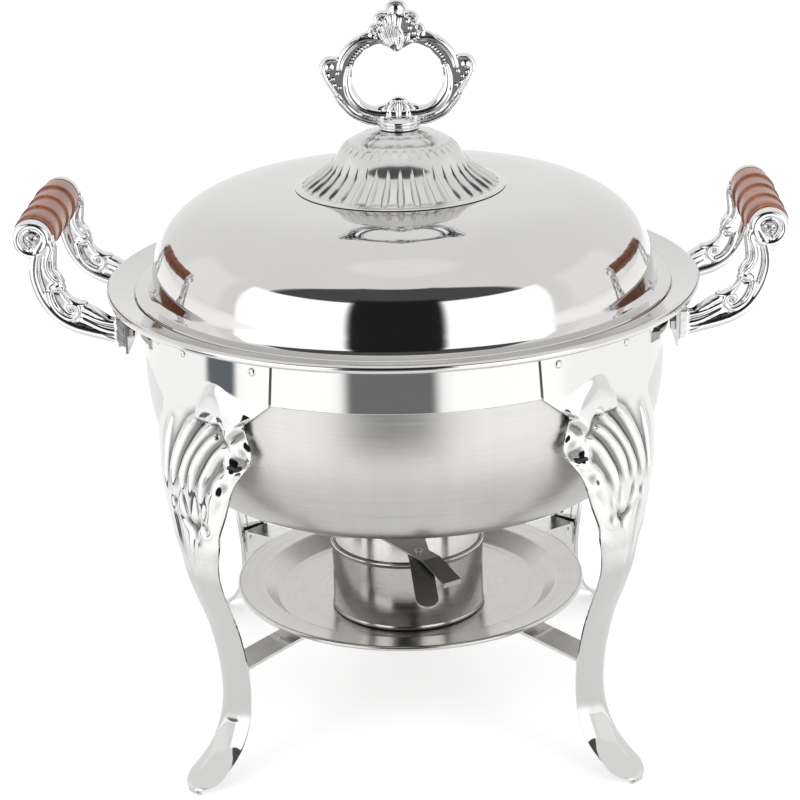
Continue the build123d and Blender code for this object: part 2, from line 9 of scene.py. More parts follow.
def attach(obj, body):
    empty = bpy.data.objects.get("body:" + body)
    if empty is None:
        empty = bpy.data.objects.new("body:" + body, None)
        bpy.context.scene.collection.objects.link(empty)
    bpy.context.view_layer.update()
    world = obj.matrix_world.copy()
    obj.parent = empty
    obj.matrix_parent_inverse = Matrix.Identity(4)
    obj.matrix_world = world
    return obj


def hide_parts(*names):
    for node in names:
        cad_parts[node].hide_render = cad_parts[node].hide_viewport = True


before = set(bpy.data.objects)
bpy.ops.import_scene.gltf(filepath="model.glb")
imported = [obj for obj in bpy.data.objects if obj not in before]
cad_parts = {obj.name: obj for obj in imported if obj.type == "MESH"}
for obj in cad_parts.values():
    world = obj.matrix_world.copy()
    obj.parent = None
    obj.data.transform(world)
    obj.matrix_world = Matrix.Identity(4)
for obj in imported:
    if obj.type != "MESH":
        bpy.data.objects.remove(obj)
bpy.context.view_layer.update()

SC = bpy.context.scene
MM = 0.001
ZR = 296.0                     # rim plane, mm


# --------------------------------------------------------------------------
# materials
# --------------------------------------------------------------------------
def new_mat(name, color, rough, metal=1.0, spec=None, coat=None, coat_rough=None, aniso=None):
    m = bpy.data.materials.new(name)
    m.use_nodes = True
    b = m.node_tree.nodes["Principled BSDF"]
    b.inputs["Base Color"].default_value = (*color, 1)
    b.inputs["Roughness"].default_value = rough
    b.inputs["Metallic"].default_value = metal
    if spec is not None:
        b.inputs["Specular IOR Level"].default_value = spec
    if coat is not None:
        b.inputs["Coat Weight"].default_value = coat
        b.inputs["Coat Roughness"].default_value = coat_rough if coat_rough is not None else 0.1
    if aniso is not None:
        b.inputs["Anisotropic"].default_value = aniso
    return m, m.node_tree, b


def ramp(nt, pairs, interp="LINEAR"):
    r = nt.nodes.new("ShaderNodeValToRGB")
    r.color_ramp.interpolation = interp
    el = r.color_ramp.elements
    while len(el) > 1:
        el.remove(el[-1])
    el[0].position, el[0].color = pairs[0][0], (*pairs[0][1], 1)
    for p, c in pairs[1:]:
        e = el.new(p)
        e.color = (*c, 1)
    return r


def obj_coord(nt, scale=(1, 1, 1), rot=(0, 0, 0)):
    t = nt.nodes.new("ShaderNodeTexCoord")
    mp = nt.nodes.new("ShaderNodeMapping")
    mp.inputs["Scale"].default_value = scale
    mp.inputs["Rotation"].default_value = rot
    nt.links.new(t.outputs["Object"], mp.inputs["Vector"])
    return mp


def polar_coord(nt):
    """(radius, angle, height) of the object coordinate as a vector in metres and radians."""
    t = nt.nodes.new("ShaderNodeTexCoord")
    s = nt.nodes.new("ShaderNodeSeparateXYZ")
    nt.links.new(t.outputs["Object"], s.inputs[0])
    x2 = nt.nodes.new("ShaderNodeMath"); x2.operation = "MULTIPLY"
    nt.links.new(s.outputs[0], x2.inputs[0]); nt.links.new(s.outputs[0], x2.inputs[1])
    y2 = nt.nodes.new("ShaderNodeMath"); y2.operation = "MULTIPLY_ADD"
    nt.links.new(s.outputs[1], y2.inputs[0]); nt.links.new(s.outputs[1], y2.inputs[1])
    nt.links.new(x2.outputs[0], y2.inputs[2])
    r = nt.nodes.new("ShaderNodeMath"); r.operation = "SQRT"
    nt.links.new(y2.outputs[0], r.inputs[0])
    a = nt.nodes.new("ShaderNodeMath"); a.operation = "ARCTAN2"
    nt.links.new(s.outputs[1], a.inputs[0]); nt.links.new(s.outputs[0], a.inputs[1])
    c = nt.nodes.new("ShaderNodeCombineXYZ")
    nt.links.new(r.outputs[0], c.inputs[0])
    nt.links.new(a.outputs[0], c.inputs[1])
    nt.links.new(s.outputs[2], c.inputs[2])
    return c, r, a, s


def add_bump(nt, b, height_socket, strength, dist=0.001):
    bu = nt.nodes.new("ShaderNodeBump")
    bu.inputs["Strength"].default_value = strength
    bu.inputs["Distance"].default_value = dist
    nt.links.new(height_socket, bu.inputs["Height"])
    nt.links.new(bu.outputs[0], b.inputs["Normal"])
    return bu


def noise(nt, vec, scale, detail=2.0, rough=0.5, dist=0.0):
    n = nt.nodes.new("ShaderNodeTexNoise")
    n.inputs["Scale"].default_value = scale
    n.inputs["Detail"].default_value = detail
    n.inputs["Roughness"].default_value = rough
    n.inputs["Distortion"].default_value = dist
    nt.links.new(vec, n.inputs["Vector"])
    return n


def map_range(nt, sock, a, b, c, d):
    m = nt.nodes.new("ShaderNodeMapRange")
    m.inputs[1].default_value, m.inputs[2].default_value = a, b
    m.inputs[3].default_value, m.inputs[4].default_value = c, d
    nt.links.new(sock, m.inputs[0])
    return m


def steel_polished(name, color=(0.80, 0.80, 0.79), r0=0.03, r1=0.075, bump=0.012):
    """Mirror-polished sheet: buffing haze in the roughness, and the faint waviness of pressed sheet."""
    m, nt, b = new_mat(name, color, r0)
    c = obj_coord(nt)
    n1 = noise(nt, c.outputs[0], 22.0, 3.0, 0.6)
    mr = map_range(nt, n1.outputs[0], 0.3, 0.75, r0, r1)
    nt.links.new(mr.outputs[0], b.inputs["Roughness"])
    cr = ramp(nt, [(0.3, tuple(v * 0.97 for v in color)), (0.7, color)])
    nt.links.new(n1.outputs[0], cr.inputs[0])
    nt.links.new(cr.outputs[0], b.inputs["Base Color"])
    n2 = noise(nt, c.outputs[0], 9.0, 1.0, 0.4)
    add_bump(nt, b, n2.outputs[0], bump, 0.02)
    return m


def steel_spun(name, color, r0, r1, ring=900.0, strength=0.08, axis="z"):
    """Lathe-brushed sheet: fine rings round the Z axis, following radius and height."""
    m, nt, b = new_mat(name, color, r0)
    c, r, a, s = polar_coord(nt)
    mp = nt.nodes.new("ShaderNodeMapping")
    mp.inputs["Scale"].default_value = (ring, 0.9, ring)
    nt.links.new(c.outputs[0], mp.inputs["Vector"])
    n1 = noise(nt, mp.outputs[0], 1.0, 3.0, 0.65)
    n2 = noise(nt, c.outputs[0], 14.0, 2.0, 0.5)
    mr = map_range(nt, n1.outputs[0], 0.25, 0.75, r0, r1)
    nt.links.new(mr.outputs[0], b.inputs["Roughness"])
    mix = nt.nodes.new("ShaderNodeMix"); mix.data_type = "FLOAT"
    mix.inputs[0].default_value = 0.35
    nt.links.new(n1.outputs[0], mix.inputs[2]); nt.links.new(n2.outputs[0], mix.inputs[3])
    cr = ramp(nt, [(0.3, tuple(v * 0.9 for v in color)), (0.7, tuple(min(1, v * 1.04) for v in color))])
    nt.links.new(mix.outputs[0], cr.inputs[0])
    nt.links.new(cr.outputs[0], b.inputs["Base Color"])
    add_bump(nt, b, n1.outputs[0], strength, 0.0004)
    return m


def steel_linear(name, color, r0, r1, scale=(60, 60, 2400), strength=0.06):
    m, nt, b = new_mat(name, color, r0)
    c = obj_coord(nt, scale)
    n1 = noise(nt, c.outputs[0], 1.0, 3.0, 0.6)
    mr = map_range(nt, n1.outputs[0], 0.25, 0.75, r0, r1)
    nt.links.new(mr.outputs[0], b.inputs["Roughness"])
    cr = ramp(nt, [(0.3, tuple(v * 0.9 for v in color)), (0.7, tuple(min(1, v * 1.04) for v in color))])
    nt.links.new(n1.outputs[0], cr.inputs[0])
    nt.links.new(cr.outputs[0], b.inputs["Base Color"])
    add_bump(nt, b, n1.outputs[0], strength, 0.0004)
    return m


def chrome_cast(name, color=(0.74, 0.742, 0.748), r0=0.05, r1=0.13):
    """Chrome over a casting: soft unevenness under the plating, and painted shade in the recesses."""
    m, nt, b = new_mat(name, color, r0)
    c = obj_coord(nt)
    n1 = noise(nt, c.outputs[0], 160.0, 3.0, 0.55)
    n2 = noise(nt, c.outputs[0], 700.0, 2.0, 0.5)
    mr = map_range(nt, n2.outputs[0], 0.3, 0.7, r0, r1)
    nt.links.new(mr.outputs[0], b.inputs["Roughness"])
    # painted shade: the base colour drops to 0.74 where the surface is concave (low pointiness)
    g = nt.nodes.new("ShaderNodeNewGeometry")
    cr = ramp(nt, [(0.38, tuple(v * 0.74 for v in color)), (0.48, tuple(v * 0.97 for v in color)), (0.53, color)])
    nt.links.new(g.outputs["Pointiness"], cr.inputs[0])
    nt.links.new(cr.outputs[0], b.inputs["Base Color"])
    add_bump(nt, b, n1.outputs[0], 0.10, 0.0006)
    return m


def wood_mat(name):
    """Red-brown stained, varnished hardwood, grain along Y."""
    m, nt, b = new_mat(name, (0.25, 0.08, 0.04), 0.35, metal=0.0, spec=0.4, coat=0.22, coat_rough=0.16)
    c = obj_coord(nt, (260, 9, 260))
    n1 = noise(nt, c.outputs[0], 1.0, 5.0, 0.62, 0.5)
    c2 = obj_coord(nt, (38, 3.2, 38))
    n2 = noise(nt, c2.outputs[0], 1.0, 3.0, 0.6, 0.8)
    mix = nt.nodes.new("ShaderNodeMix"); mix.data_type = "FLOAT"
    mix.inputs[0].default_value = 0.5
    nt.links.new(n1.outputs[0], mix.inputs[2]); nt.links.new(n2.outputs[0], mix.inputs[3])
    cr = ramp(nt, [(0.28, (0.085, 0.027, 0.015)), (0.45, (0.20, 0.060, 0.030)), (0.58, (0.29, 0.094, 0.048)), (0.75, (0.38, 0.15, 0.085))])
    nt.links.new(mix.outputs[0], cr.inputs[0])
    nt.links.new(cr.outputs[0], b.inputs["Base Color"])
    mr = map_range(nt, n1.outputs[0], 0.3, 0.7, 0.26, 0.44)
    nt.links.new(mr.outputs[0], b.inputs["Roughness"])
    add_bump(nt, b, n1.outputs[0], 0.12, 0.0004)
    return m


M_LID = steel_polished("polished_lid", (0.64, 0.632, 0.62))
M_HOOP = steel_polished("polished_hoop", (0.66, 0.655, 0.645), 0.03, 0.06)
M_BELL = steel_polished("polished_bell", (0.66, 0.655, 0.645), 0.13, 0.19)
M_LEG = steel_polished("polished_leg", (0.66, 0.655, 0.645), 0.03, 0.07, 0.02)
M_PAN = steel_spun("spun_pan", (0.565, 0.558, 0.545), 0.26, 0.36, 500.0, 0.03)


def paint_groove_shade(m, groove_shade_level):
    """Painted shade at the bottom of pressed grooves: the base colour is multiplied down by the groove mask attribute.
    """
    nt = m.node_tree
    b = nt.nodes["Principled BSDF"]
    src = b.inputs["Base Color"].links[0].from_socket
    # mask attribute for the painted shade, 0 on open surface and 1 in the groove bottoms
    g = nt.nodes.new("ShaderNodeAttribute")
    g.attribute_name = "painted_groove_shade"
    cr = ramp(nt, [(0.05, (1, 1, 1)), (0.9, (groove_shade_level, groove_shade_level, groove_shade_level))])
    nt.links.new(g.outputs["Fac"], cr.inputs[0])
    mx = nt.nodes.new("ShaderNodeMix")
    mx.data_type = "RGBA"
    mx.blend_type = "MULTIPLY"
    mx.inputs[0].default_value = 1.0
    nt.links.new(src, mx.inputs[6])
    nt.links.new(cr.outputs[0], mx.inputs[7])
    nt.links.new(mx.outputs[2], b.inputs["Base Color"])


M_RIM = steel_polished("polished_rim", (0.64, 0.633, 0.622), 0.06, 0.12)
M_TRAY = steel_spun("spun_tray", (0.60, 0.59, 0.575), 0.19, 0.26, 450.0, 0.01)
M_CUP = steel_spun("spun_cup", (0.55, 0.535, 0.51), 0.12, 0.20, 600.0, 0.02)
M_BLADE = steel_linear("ground_blade", (0.36, 0.355, 0.345), 0.25, 0.40, (2400, 80, 2400))
M_BRACE = steel_linear("brushed_brace", (0.70, 0.695, 0.68), 0.16, 0.26, (120, 120, 120), 0.015)
M_CHROME = chrome_cast("cast_chrome_finish")
M_ZINC = steel_linear("plated_fastener", (0.68, 0.68, 0.67), 0.18, 0.28, (300, 300, 300), 0.015)
M_WOOD = wood_mat("stained_wood")

# painted shade in the bell's flutes and in the legs' creases
paint_groove_shade(M_BELL, 0.52)
paint_groove_shade(M_LEG, 0.30)

NODE_MAT = {
    "stand_hoop": M_HOOP, "lid_cover": M_LID, "food_pan": M_RIM, "water_pan": M_PAN, "fuel_tray": M_TRAY,
    "brace_a": M_BRACE, "brace_b": M_BRACE, "tray_rivet": M_ZINC, "brace_rivets": M_ZINC, "leg_rivets": M_HOOP,
    "handle_plate_rivets": M_HOOP, "handle_plate_left": M_HOOP, "handle_plate_right": M_HOOP,
    "lid_escutcheon": M_LID, "lid_handle": M_CHROME, "lid_handle_screw": M_ZINC, "lid_handle_washer": M_ZINC,
    "grip_left": M_WOOD, "grip_right": M_WOOD, "grip_screws": M_ZINC, "bracket_screws": M_ZINC,
    "fuel_holder_cup": M_CUP, "fuel_holder_collar": M_CUP, "fuel_holder_handle": M_BLADE, "damper_lid": M_BLADE,
    "damper_rivet": M_ZINC,
}
for n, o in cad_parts.items():
    mat = NODE_MAT.get(n) or (M_LEG if n.startswith("leg_") else M_CHROME)
    if not o.data.materials:
        o.data.materials.append(mat)
    for i in range(len(o.data.materials)):
        o.data.materials[i] = mat

# --------------------------------------------------------------------------
# mesh helpers (all lengths in mm, z relative to the rim plane unless said)
# --------------------------------------------------------------------------
HANDLE_YAW = math.radians(-2.0)
HANDLE_UP = 1.35


def catmull(pts, per=8):
    pts = [np.array(p, float) for p in pts]
    n = len(pts)
    out = []
    for i in range(n - 1):
        p0, p1, p2, p3 = pts[max(i - 1, 0)], pts[i], pts[i + 1], pts[min(i + 2, n - 1)]
        for k in range(per):
            t = k / per
            out.append(0.5 * (2 * p1 + (p2 - p0) * t + (2 * p0 - 5 * p1 + 4 * p2 - p3) * t * t
                              + (3 * p1 - p0 - 3 * p2 + p3) * t ** 3))
    out.append(pts[-1])
    return np.array(out)


def resample(p, step):
    p = np.asarray(p, float)
    d = np.r_[0, np.cumsum(np.linalg.norm(np.diff(p, axis=0), axis=1))]
    n = max(2, int(round(d[-1] / step)) + 1)
    t = np.linspace(0, d[-1], n)
    return np.stack([np.interp(t, d, p[:, k]) for k in range(p.shape[1])], axis=1)


def fair(pts, step=1.0, sigma=3.0, per=10):
    """Smooth curve through given points: spline, even spacing, then a small Gaussian along its length."""
    p = resample(catmull(pts, per), step)
    w = int(3 * sigma / step) + 1
    if w < 2 or len(p) <= w + 1:
        return p
    k = np.exp(-0.5 * (np.arange(-w, w + 1) * step / sigma) ** 2)
    k /= k.sum()
    pre = 2 * p[0] - p[1:w + 1][::-1]
    post = 2 * p[-1] - p[-w - 1:-1][::-1]
    q = np.vstack([pre, p, post])
    return np.stack([np.convolve(q[:, j], k, "valid") for j in range(p.shape[1])], axis=1)


def joined(*runs):
    out = []
    for r in runs:
        for q in r:
            q = (float(q[0]), float(q[1]))
            if not out or math.hypot(out[-1][0] - q[0], out[-1][1] - q[1]) > 1e-4:
                out.append(q)
    if math.hypot(out[0][0] - out[-1][0], out[0][1] - out[-1][1]) < 1e-4:
        out.pop()
    return out


def arc2(cx, cz, r, a0, a1, n=8):
    return [(cx + r * math.cos(math.radians(a0 + (a1 - a0) * i / n)),
             cz + r * math.sin(math.radians(a0 + (a1 - a0) * i / n))) for i in range(n + 1)]


def sharp_by_angle(me, deg):
    bm = bmesh.new()
    bm.from_mesh(me)
    bmesh.ops.recalc_face_normals(bm, faces=bm.faces)
    lim = math.radians(deg)
    for f in bm.faces:
        f.smooth = True
    for e in bm.edges:
        if len(e.link_faces) == 2:
            e.smooth = e.calc_face_angle(0.0) < lim
    bm.to_mesh(me)
    bm.free()


def finish_piece(name, me, mat, body, nodes, deg=38.0, sharp=True):
    if sharp:
        sharp_by_angle(me, deg)
    me.materials.clear()
    me.materials.append(mat)
    o = bpy.data.objects.new(name, me)
    SC.collection.objects.link(o)
    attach(o, body)
    if nodes:
        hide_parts(*nodes)
    return o


def mesh_from(name, verts_mm, faces):
    """verts in mm with absolute z."""
    me = bpy.data.meshes.new(name)
    v = np.asarray(verts_mm, float) * MM
    me.from_pydata([tuple(q) for q in v], [], faces)
    me.update()
    return me


def lathe_data(profile, segs, closed=True, zoff=ZR, matrix=None):
    """Closed (r, z) loop turned about Z; points on the axis become one vertex."""
    verts, faces, rows = [], [], []
    for r, z in profile:
        if abs(r) < 1e-6:
            rows.append([len(verts)])
            verts.append((0.0, 0.0, z + zoff))
        else:
            row = []
            for k in range(segs):
                a = 2 * math.pi * k / segs
                row.append(len(verts))
                verts.append((r * math.cos(a), r * math.sin(a), z + zoff))
            rows.append(row)
    n = len(rows)
    for i in range(n if closed else n - 1):
        a, b = rows[i], rows[(i + 1) % n]
        if len(a) == 1 and len(b) == 1:
            continue
        for k in range(segs):
            k2 = (k + 1) % segs
            if len(a) == 1:
                faces.append((a[0], b[k2], b[k]))
            elif len(b) == 1:
                faces.append((a[k], a[k2], b[0]))
            else:
                faces.append((a[k], a[k2], b[k2], b[k]))
    if matrix is not None:
        verts = [tuple(matrix @ Vector(v)) for v in verts]
    return verts, faces


def lathe(name, profile, mat, body, nodes, segs=224, centre=(0, 0), closed=True, deg=32.0):
    v, f = lathe_data(profile, segs, closed)
    v = [(x + centre[0], y + centre[1], z) for x, y, z in v]
    return finish_piece(name, mesh_from(name, v, f), mat, body, nodes, deg)


def gather(parts):
    """Joins (verts, faces) lists."""
    V, F = [], []
    for v, f in parts:
        o = len(V)
        V += list(v)
        F += [tuple(i + o for i in q) for q in f]
    return V, F


# --------------------------------------------------------------------------
# sheet bodies of revolution
# --------------------------------------------------------------------------
# lid: rolled foot, near-upright wall, full shoulder, flat crown
lid_out = fair([(162.3, -1.6), (161.2, 1.0), (160.6, 5.0), (159.9, 11.0), (158.1, 20.0), (155.0, 28.4), (150.2, 35.7),
                (145.0, 41.0), (139.0, 45.6), (131.0, 50.0), (119.0, 54.1), (100.0, 56.9), (80.0, 58.0), (60.0, 58.4),
                (30.0, 58.5)], 1.2, 3.2)
lid_foot = [(171.2, -3.3), (171.6, -3.0), (171.6, -2.5), (171.2, -2.1), (165.5, -2.1), (164.2, -1.95), (163.2, -1.6)]
lid_in = [(r - 1.2 * nx, z - 1.2 * nz) for (r, z), nx, nz in
          [((lid_out[i][0], lid_out[i][1]),
            *(lambda t: (t[1] / np.hypot(*t), -t[0] / np.hypot(*t)))(lid_out[min(i + 1, len(lid_out) - 1)] - lid_out[max(i - 1, 0)]))
           for i in range(len(lid_out))]]
lid_prof = joined(lid_foot, lid_out[2:], [(3.3, 58.5), (3.3, 57.3)], [q for q in reversed(lid_in) if q[1] > 0.4 and q[0] > 30],
                  [(160.4, -1.5), (161.6, -3.1), (163.4, -3.3)])
lathe("lid_shell", lid_prof, M_LID, "lid", ["lid_cover"], 256)

# hoop: bright band with softly broken edges
hoop_prof = joined([(169.3, -35.0), (169.6, -35.4), (170.2, -35.4), (170.5, -35.0)], [(170.5, -30.0), (170.5, -13.0)],
                   [(170.5, -8.0), (170.2, -7.6), (169.6, -7.6), (169.3, -8.0)])
lathe("hoop_band", hoop_prof, M_HOOP, "stand", ["stand_hoop"], 256)

# water pan
wp_wall = [(167.5, -7.4), (167.5, -49.0)]
wp_turn = [(127.5 + 40.0 * math.cos(t), -50.0 - 80.0 * math.sin(t)) for t in np.linspace(0.0, math.pi / 2, 56)]
wp_turn_in = [(127.0 + 39.3 * math.cos(t), -49.3 - 79.5 * math.sin(t)) for t in np.linspace(math.pi / 2, 0.0, 56)]
wp_bead = [(168.6, -7.4), (176.6, -7.4)] + arc2(178.3, -6.0, 1.5, -110, 150, 14) + [(176.4, -6.1), (168.0, -6.2), (166.9, -6.4), (166.3, -7.2)]
wp_prof = joined([(0, -130.0), (40.0, -130.0), (90.0, -130.0)], wp_turn[::-1], wp_wall[::-1], wp_bead, [(166.3, -48.0)], wp_turn_in[::-1],
                 [(90.0, -128.8), (0, -128.8)])
lathe("water_pan_shell", wp_prof, M_PAN, "water_pan", ["water_pan"], 256)

# food pan: stepped flange and rolled rim
fp_under = [(0, -65.0), (148.0, -65.0), (151.5, -64.6), (155.0, -62.8), (157.8, -60.2), (159.5, -56.5), (160.3, -52.0), (160.5, -47.0),
            (160.5, -7.0), (160.8, -5.6), (161.8, -4.8), (163.5, -4.6), (172.0, -4.6), (173.2, -4.1), (174.4, -3.2), (184.2, -2.0)]
fp_roll = [(185.2, -2.9), (186.0, -3.9), (187.0, -4.3), (188.2, -4.3), (189.2, -3.8), (189.8, -2.8), (190.0, -1.7), (189.8, -0.7),
           (189.1, 0.2), (188.1, 0.6), (187.0, 0.5), (186.0, 0.0), (185.0, -0.6)]
fp_over = [(174.2, -2.0), (173.1, -2.5), (172.2, -3.3), (170.8, -3.5), (162.0, -3.6), (160.6, -3.9), (159.6, -4.9), (159.3, -6.4),
           (159.3, -47.0), (159.0, -52.0), (158.2, -56.0), (156.6, -59.4), (154.0, -61.9), (150.5, -63.4), (147.6, -63.8), (0, -63.8)]
lathe("food_pan_shell", joined(fp_under, fp_roll, fp_over), M_RIM, "food_pan", ["food_pan"], 256, deg=50.0)

# fuel tray
tray_prof = joined([(3.05, -221.5), (86.5, -221.5), (88.4, -221.2), (89.8, -220.3), (97.6, -212.4), (99.0, -211.4), (100.6, -211.2),
                    (112.6, -210.8)], arc2(114.3, -212.0, 1.7, 110, -150, 14),
                   [(111.8, -212.0), (100.4, -212.4), (98.4, -212.9), (96.6, -214.2), (89.4, -221.8), (88.0, -222.6), (86.2, -222.7), (3.05, -222.7)])
lathe("fuel_tray_dish", tray_prof, M_TRAY, "stand", ["fuel_tray"], 200, deg=40.0)
rivet_t = joined([(0, -220.3), (2.2, -220.35), (3.9, -220.7), (4.8, -221.2), (5.0, -221.5), (3.0, -221.5), (3.0, -226.8), (4.6, -226.8),
                  (4.3, -227.6), (3.0, -228.1), (0, -228.2)])
lathe("tray_rivet_turned", rivet_t, M_ZINC, "stand", ["tray_rivet"], 48)

# fuel holder cup and collar
CUPC = (-1.5, -19.0)
cb, ct = -221.2, -174.0
cup_prof = joined([(0, cb + 2.4), (45.8, cb + 2.4), (47.2, cb + 1.9)], arc2(49.0, cb + 1.5, 1.5, 200, 400, 12),
                  [(49.8, cb + 3.2), (49.8, ct - 3.8), (49.9, ct - 3.0)], arc2(49.6, ct - 1.25, 1.25, -20, 150, 10),
                  [(48.6, ct - 1.6), (48.6, cb + 6.0), (48.0, cb + 4.4), (46.8, cb + 3.6), (0, cb + 3.6)])
lathe("fuel_cup", cup_prof, M_CUP, "fuel_holder", ["fuel_holder_cup"], 144, CUPC, deg=40.0)
cz = -157.0
col_prof = joined([(47.5, ct - 12.0), (48.5, ct - 12.0), (48.5, cz - 1.7), (48.3, cz - 0.8), (47.7, cz - 0.2), (46.8, cz), (31.0, cz),
                   (30.2, cz - 0.2), (30.0, cz - 0.6), (30.2, cz - 1.0), (31.0, cz - 1.2), (46.4, cz - 1.2), (47.2, cz - 1.6), (47.5, cz - 2.4)])
lathe("fuel_collar", col_prof, M_CUP, "fuel_holder", ["fuel_holder_collar"], 144, CUPC, deg=40.0)


# --------------------------------------------------------------------------
# wooden grips: four turned barrels, lathed along Y
# --------------------------------------------------------------------------
def yaw_matrix():
    return Matrix.Rotation(HANDLE_YAW, 4, "Z")


grip_runs = joined([(0, 50.0), (11.4, 50.0), (12.2, 49.7), (12.5, 49.0), (12.5, 48.2), (12.1, 47.6), (12.0, 47.2), (12.3, 46.8)],
                   fair([(12.5, 46.4), (12.9, 42.0), (13.4, 36.0), (13.8, 30.0), (14.0, 26.6)], 1.0, 1.0),
                   [(13.9, 25.7), (13.6, 25.3), (12.7, 25.05), (12.4, 24.8), (12.5, 24.5)],
                   fair([(12.6, 24.0), (13.0, 18.0), (13.4, 11.0), (13.7, 4.0), (13.8, 1.6)], 1.0, 1.0), [(13.7, 0.7), (13.4, 0.35), (12.6, 0.1), (12.4, -0.15), (12.5, -0.4)],
                   fair([(12.6, -0.9), (13.0, -8.0), (13.4, -15.0), (13.7, -21.0), (13.8, -23.6)], 1.0, 1.0), [(13.7, -24.4), (13.4, -24.75), (12.6, -25.0), (12.4, -25.25), (12.5, -25.5)],
                   fair([(12.6, -26.0), (13.0, -32.0), (13.3, -38.0), (13.5, -42.0), (13.2, -46.0)], 1.0, 1.0),
                   [(12.6, -46.8), (12.1, -47.2), (12.1, -47.7), (12.5, -48.2), (12.5, -49.0), (12.2, -49.7), (11.4, -50.0), (0, -50.0)])
for side, sx in (("right", 1), ("left", -1)):
    v, f = lathe_data(grip_runs, 72, True, 0.0)
    # local Z becomes -Y... front end first
    m = yaw_matrix() @ Matrix.Translation((sx * 227.0, 0, ZR + 40.0 + HANDLE_UP)) @ Matrix.Rotation(math.radians(-90), 4, "X")
    v = [tuple(m @ Vector(q)) for q in v]
    finish_piece(f"grip_turned_{side}", mesh_from(f"grip_{side}", v, f), M_WOOD, "stand", [f"grip_{side}"], 35.0)


# --------------------------------------------------------------------------
# casting kit: overlapping rods, blobs and plates fused by a fine remesh
# --------------------------------------------------------------------------
def sweep(pts, radii, ry, per=6, n=16, y0=0.0, wrap=False):
    """Rod along an X-Z path: radius r in the plane, ry across it, rounded ends."""
    pp = [(p[0], p[1], radii[min(i, len(radii) - 1)], ry[min(i, len(ry) - 1)] if isinstance(ry, (list, tuple)) else ry)
          for i, p in enumerate(pts)]
    c = catmull(pp, per) if len(pp) > 2 else np.array(pp, float)
    xz, r, y = c[:, :2], c[:, 2], c[:, 3]
    t = np.gradient(xz, axis=0)
    t /= np.linalg.norm(t, axis=1)[:, None] + 1e-9
    rows = []
    caps = (0.0, 0.35, 0.65, 0.87, 1.0)
    seq = []
    for q in caps[:-1]:
        k = math.sqrt(max(0, 1 - (1 - q) ** 2))
        seq.append((xz[0] - t[0] * r[0] * (1 - q), t[0], r[0] * max(k, 0.05), y[0] * max(k, 0.05)))
    for i in range(len(xz)):
        seq.append((xz[i], t[i], r[i], y[i]))
    for q in reversed(caps[:-1]):
        k = math.sqrt(max(0, 1 - (1 - q) ** 2))
        seq.append((xz[-1] + t[-1] * r[-1] * (1 - q), t[-1], r[-1] * max(k, 0.05), y[-1] * max(k, 0.05)))
    V, F = [], []
    for p, tt, rr, yy in seq:
        nx, nz = -tt[1], tt[0]
        for k in range(n):
            a = 2 * math.pi * k / n
            V.append((p[0] + nx * rr * math.cos(a), y0 + yy * math.sin(a), p[1] + nz * rr * math.cos(a)))
    m = len(seq)
    for i in range(m - 1):
        for k in range(n):
            k2 = (k + 1) % n
            F.append((i * n + k, i * n + k2, (i + 1) * n + k2, (i + 1) * n + k))
    F.append(tuple(range(n))[::-1])
    F.append(tuple((m - 1) * n + k for k in range(n)))
    return V, F


def blob(c, rad, n=16, tilt=0.0):
    V, F = [], []
    rows = n // 2
    ct, st = math.cos(math.radians(tilt)), math.sin(math.radians(tilt))
    def put(x, y, z):
        V.append((c[0] + x * ct - z * st, c[1] + y, c[2] + x * st + z * ct))
    put(0, 0, rad[2])
    for i in range(1, rows):
        th = math.pi * i / rows
        for k in range(n):
            a = 2 * math.pi * k / n
            put(rad[0] * math.sin(th) * math.cos(a), rad[1] * math.sin(th) * math.sin(a), rad[2] * math.cos(th))
    put(0, 0, -rad[2])
    last = len(V) - 1
    for k in range(n):
        F.append((0, 1 + k, 1 + (k + 1) % n))
        F.append((last, last - n + (k + 1) % n, last - n + k))
    for i in range(rows - 2):
        for k in range(n):
            k2 = (k + 1) % n
            F.append((1 + i * n + k, 1 + (i + 1) * n + k, 1 + (i + 1) * n + k2, 1 + i * n + k2))
    return V, F


def slab(outline, y0, y1):
    """Closed X-Z outline between two Y values."""
    n = len(outline)
    V = [(x, y0, z) for x, z in outline] + [(x, y1, z) for x, z in outline]
    tri = delaunay_2d_cdt([Vector(p) for p in outline], [], [tuple(range(n))], 1, 1e-6)
    F = []
    idx = {i: (o[0] if o else None) for i, o in enumerate(tri[3])}
    for t in tri[2]:
        q = [idx[i] for i in t]
        if None in q:
            continue
        F.append(tuple(q))
        F.append(tuple(i + n for i in reversed(q)))
    for i in range(n):
        j = (i + 1) % n
        F.append((i, j, j + n, i + n))
    return V, F


def torus_y(c, R, r, ry, n=40, m=14):
    V, F = [], []
    for i in range(n):
        a = 2 * math.pi * i / n
        for k in range(m):
            b = 2 * math.pi * k / m
            V.append((c[0] + (R + r * math.cos(b)) * math.cos(a), c[1] + ry * math.sin(b), c[2] + (R + r * math.cos(b)) * math.sin(a)))
    for i in range(n):
        for k in range(m):
            i2, k2 = (i + 1) % n, (k + 1) % m
            F.append((i * m + k, i * m + k2, i2 * m + k2, i2 * m + k))
    return V, F


def disc_y(c, R, y0, y1, n=48):
    V = [(c[0] + R * math.cos(2 * math.pi * i / n), y, c[2] + R * math.sin(2 * math.pi * i / n)) for y in (y0, y1) for i in range(n)]
    F = [tuple(range(n)), tuple(range(2 * n - 1, n - 1, -1))] + [(i, i + n, (i + 1) % n + n, (i + 1) % n) for i in range(n)]
    return V, F


def mirror_x(part):
    v, f = part
    return [(-x, y, z) for x, y, z in v], [tuple(reversed(q)) for q in f]


